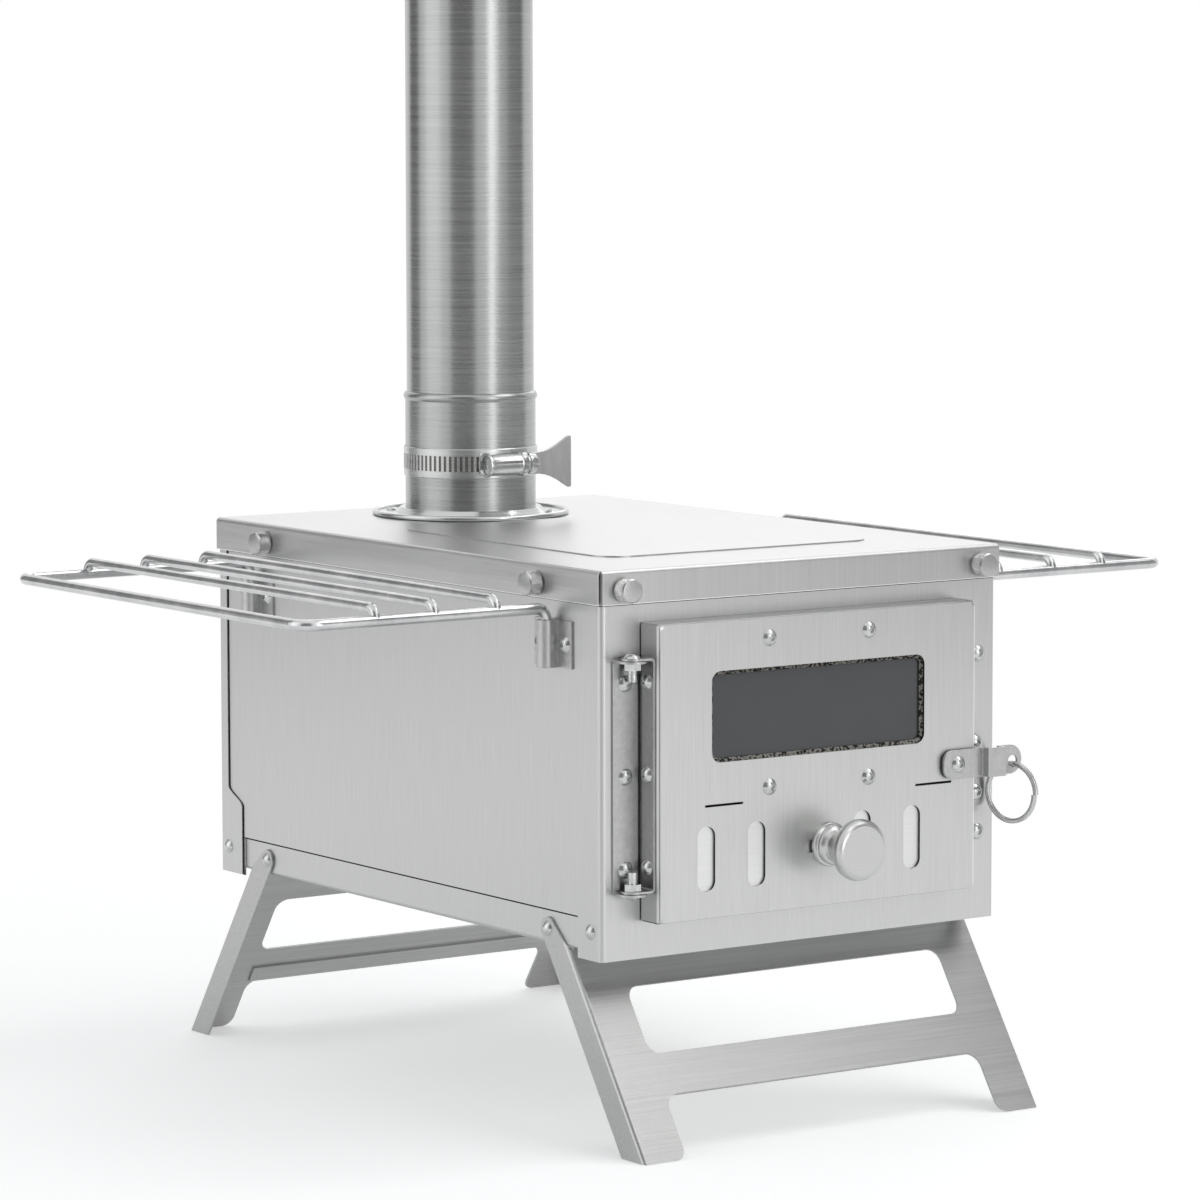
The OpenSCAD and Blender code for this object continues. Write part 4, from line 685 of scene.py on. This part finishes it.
barrel = turned([(2.2, -13.2), (4.15, -13.2), (4.15, -15.2), (4.5, -15.6), (5.5, -15.6), (5.7, -15.3),
                 (5.7, -14.3), (5.2, -13.6), (5.05, -12.6), (5.05, 2.4), (5.2, 3.2), (5.7, 3.8), (5.7, 5.7),
                 (5.5, 6.0), (4.3, 6.0), (4.15, 5.6), (4.15, 3.0), (2.2, 3.0)], 40)
barrel.rotation_euler = (0, math.radians(90), 0)
barrel.location = (0, worm_y, 0)
saddle = closed(drawn("plate", [(-34.4, 7.4, 4.7), (-33.2, 7.7, 5.0), (-29.6, 7.7, 5.0)]))
saddle.rotation_euler = (math.radians(-90), 0, 0)
saddle.location = (-4.8 * mm, 0, 0)
for piece in (barrel, saddle):
    select_only(piece)
    bpy.ops.object.transform_apply(location=True, rotation=True, scale=True)
    piece.data.materials.append(house_steel)
clamp = joined([band, barrel, saddle])

screw = turned([(2.0, -13.6), (3.4, -13.6), (3.6, -13.2), (3.6, 5.2), (4.0, 5.4), (4.0, 7.6), (4.8, 8.1),
                (4.8, 11.4), (4.4, 12.0), (0.6, 12.0)], 32)
wing = closed(drawn("plate", [(9.0, 0.8, 5.0), (12.2, 0.8, 5.0), (15, 0.8, 5.2), (18, 0.8, 5.7),
                              (21, 0.8, 6.6), (24, 0.8, 7.9), (27, 0.8, 9.6), (29.5, 0.8, 11.2),
                              (31.2, 0.8, 12.2), (32.1, 0.8, 12.1), (32.6, 0.8, 11.4)]))
wing.modifiers.new("worn_edges", "BEVEL").width = 0.2 * mm
bpy.ops.object.modifier_apply(modifier="worn_edges")
wing.data.materials.append(wing_steel)
screw.data.materials.append(house_steel)
screw = joined([screw, wing])
screw.rotation_euler = (math.radians(90), 0, math.radians(90))
select_only(screw)
bpy.ops.object.transform_apply(location=True, rotation=True, scale=True)
screw.location = (0, worm_y, 0)
bpy.ops.object.transform_apply(location=True, rotation=True, scale=True)

for number, (height, turn, body) in enumerate(((275.078, 0, "flue_section"), (503.578, 45, "damper_section"),
                                               (751.078, -30, "arrestor")), 1):
    for pattern, label, slot, rides_on, node in (
            (clamp, "slotted_clamp_%d", "brushed_sheet", body, "clamp_band_%d"),
            (screw, "winged_worm_screw_%d", "bright_hardware", "clamp_screw_%d" % number, "clamp_wing_%d")):
        piece = copied(pattern)
        piece.rotation_euler = (0, 0, math.radians(turn))
        piece.location = (0, flue_y * mm, height * mm)
        settle(piece, label % number, None, slot, rides_on, node % number, smooth=35)
for pattern in (clamp, screw):
    bpy.data.objects.remove(pattern)
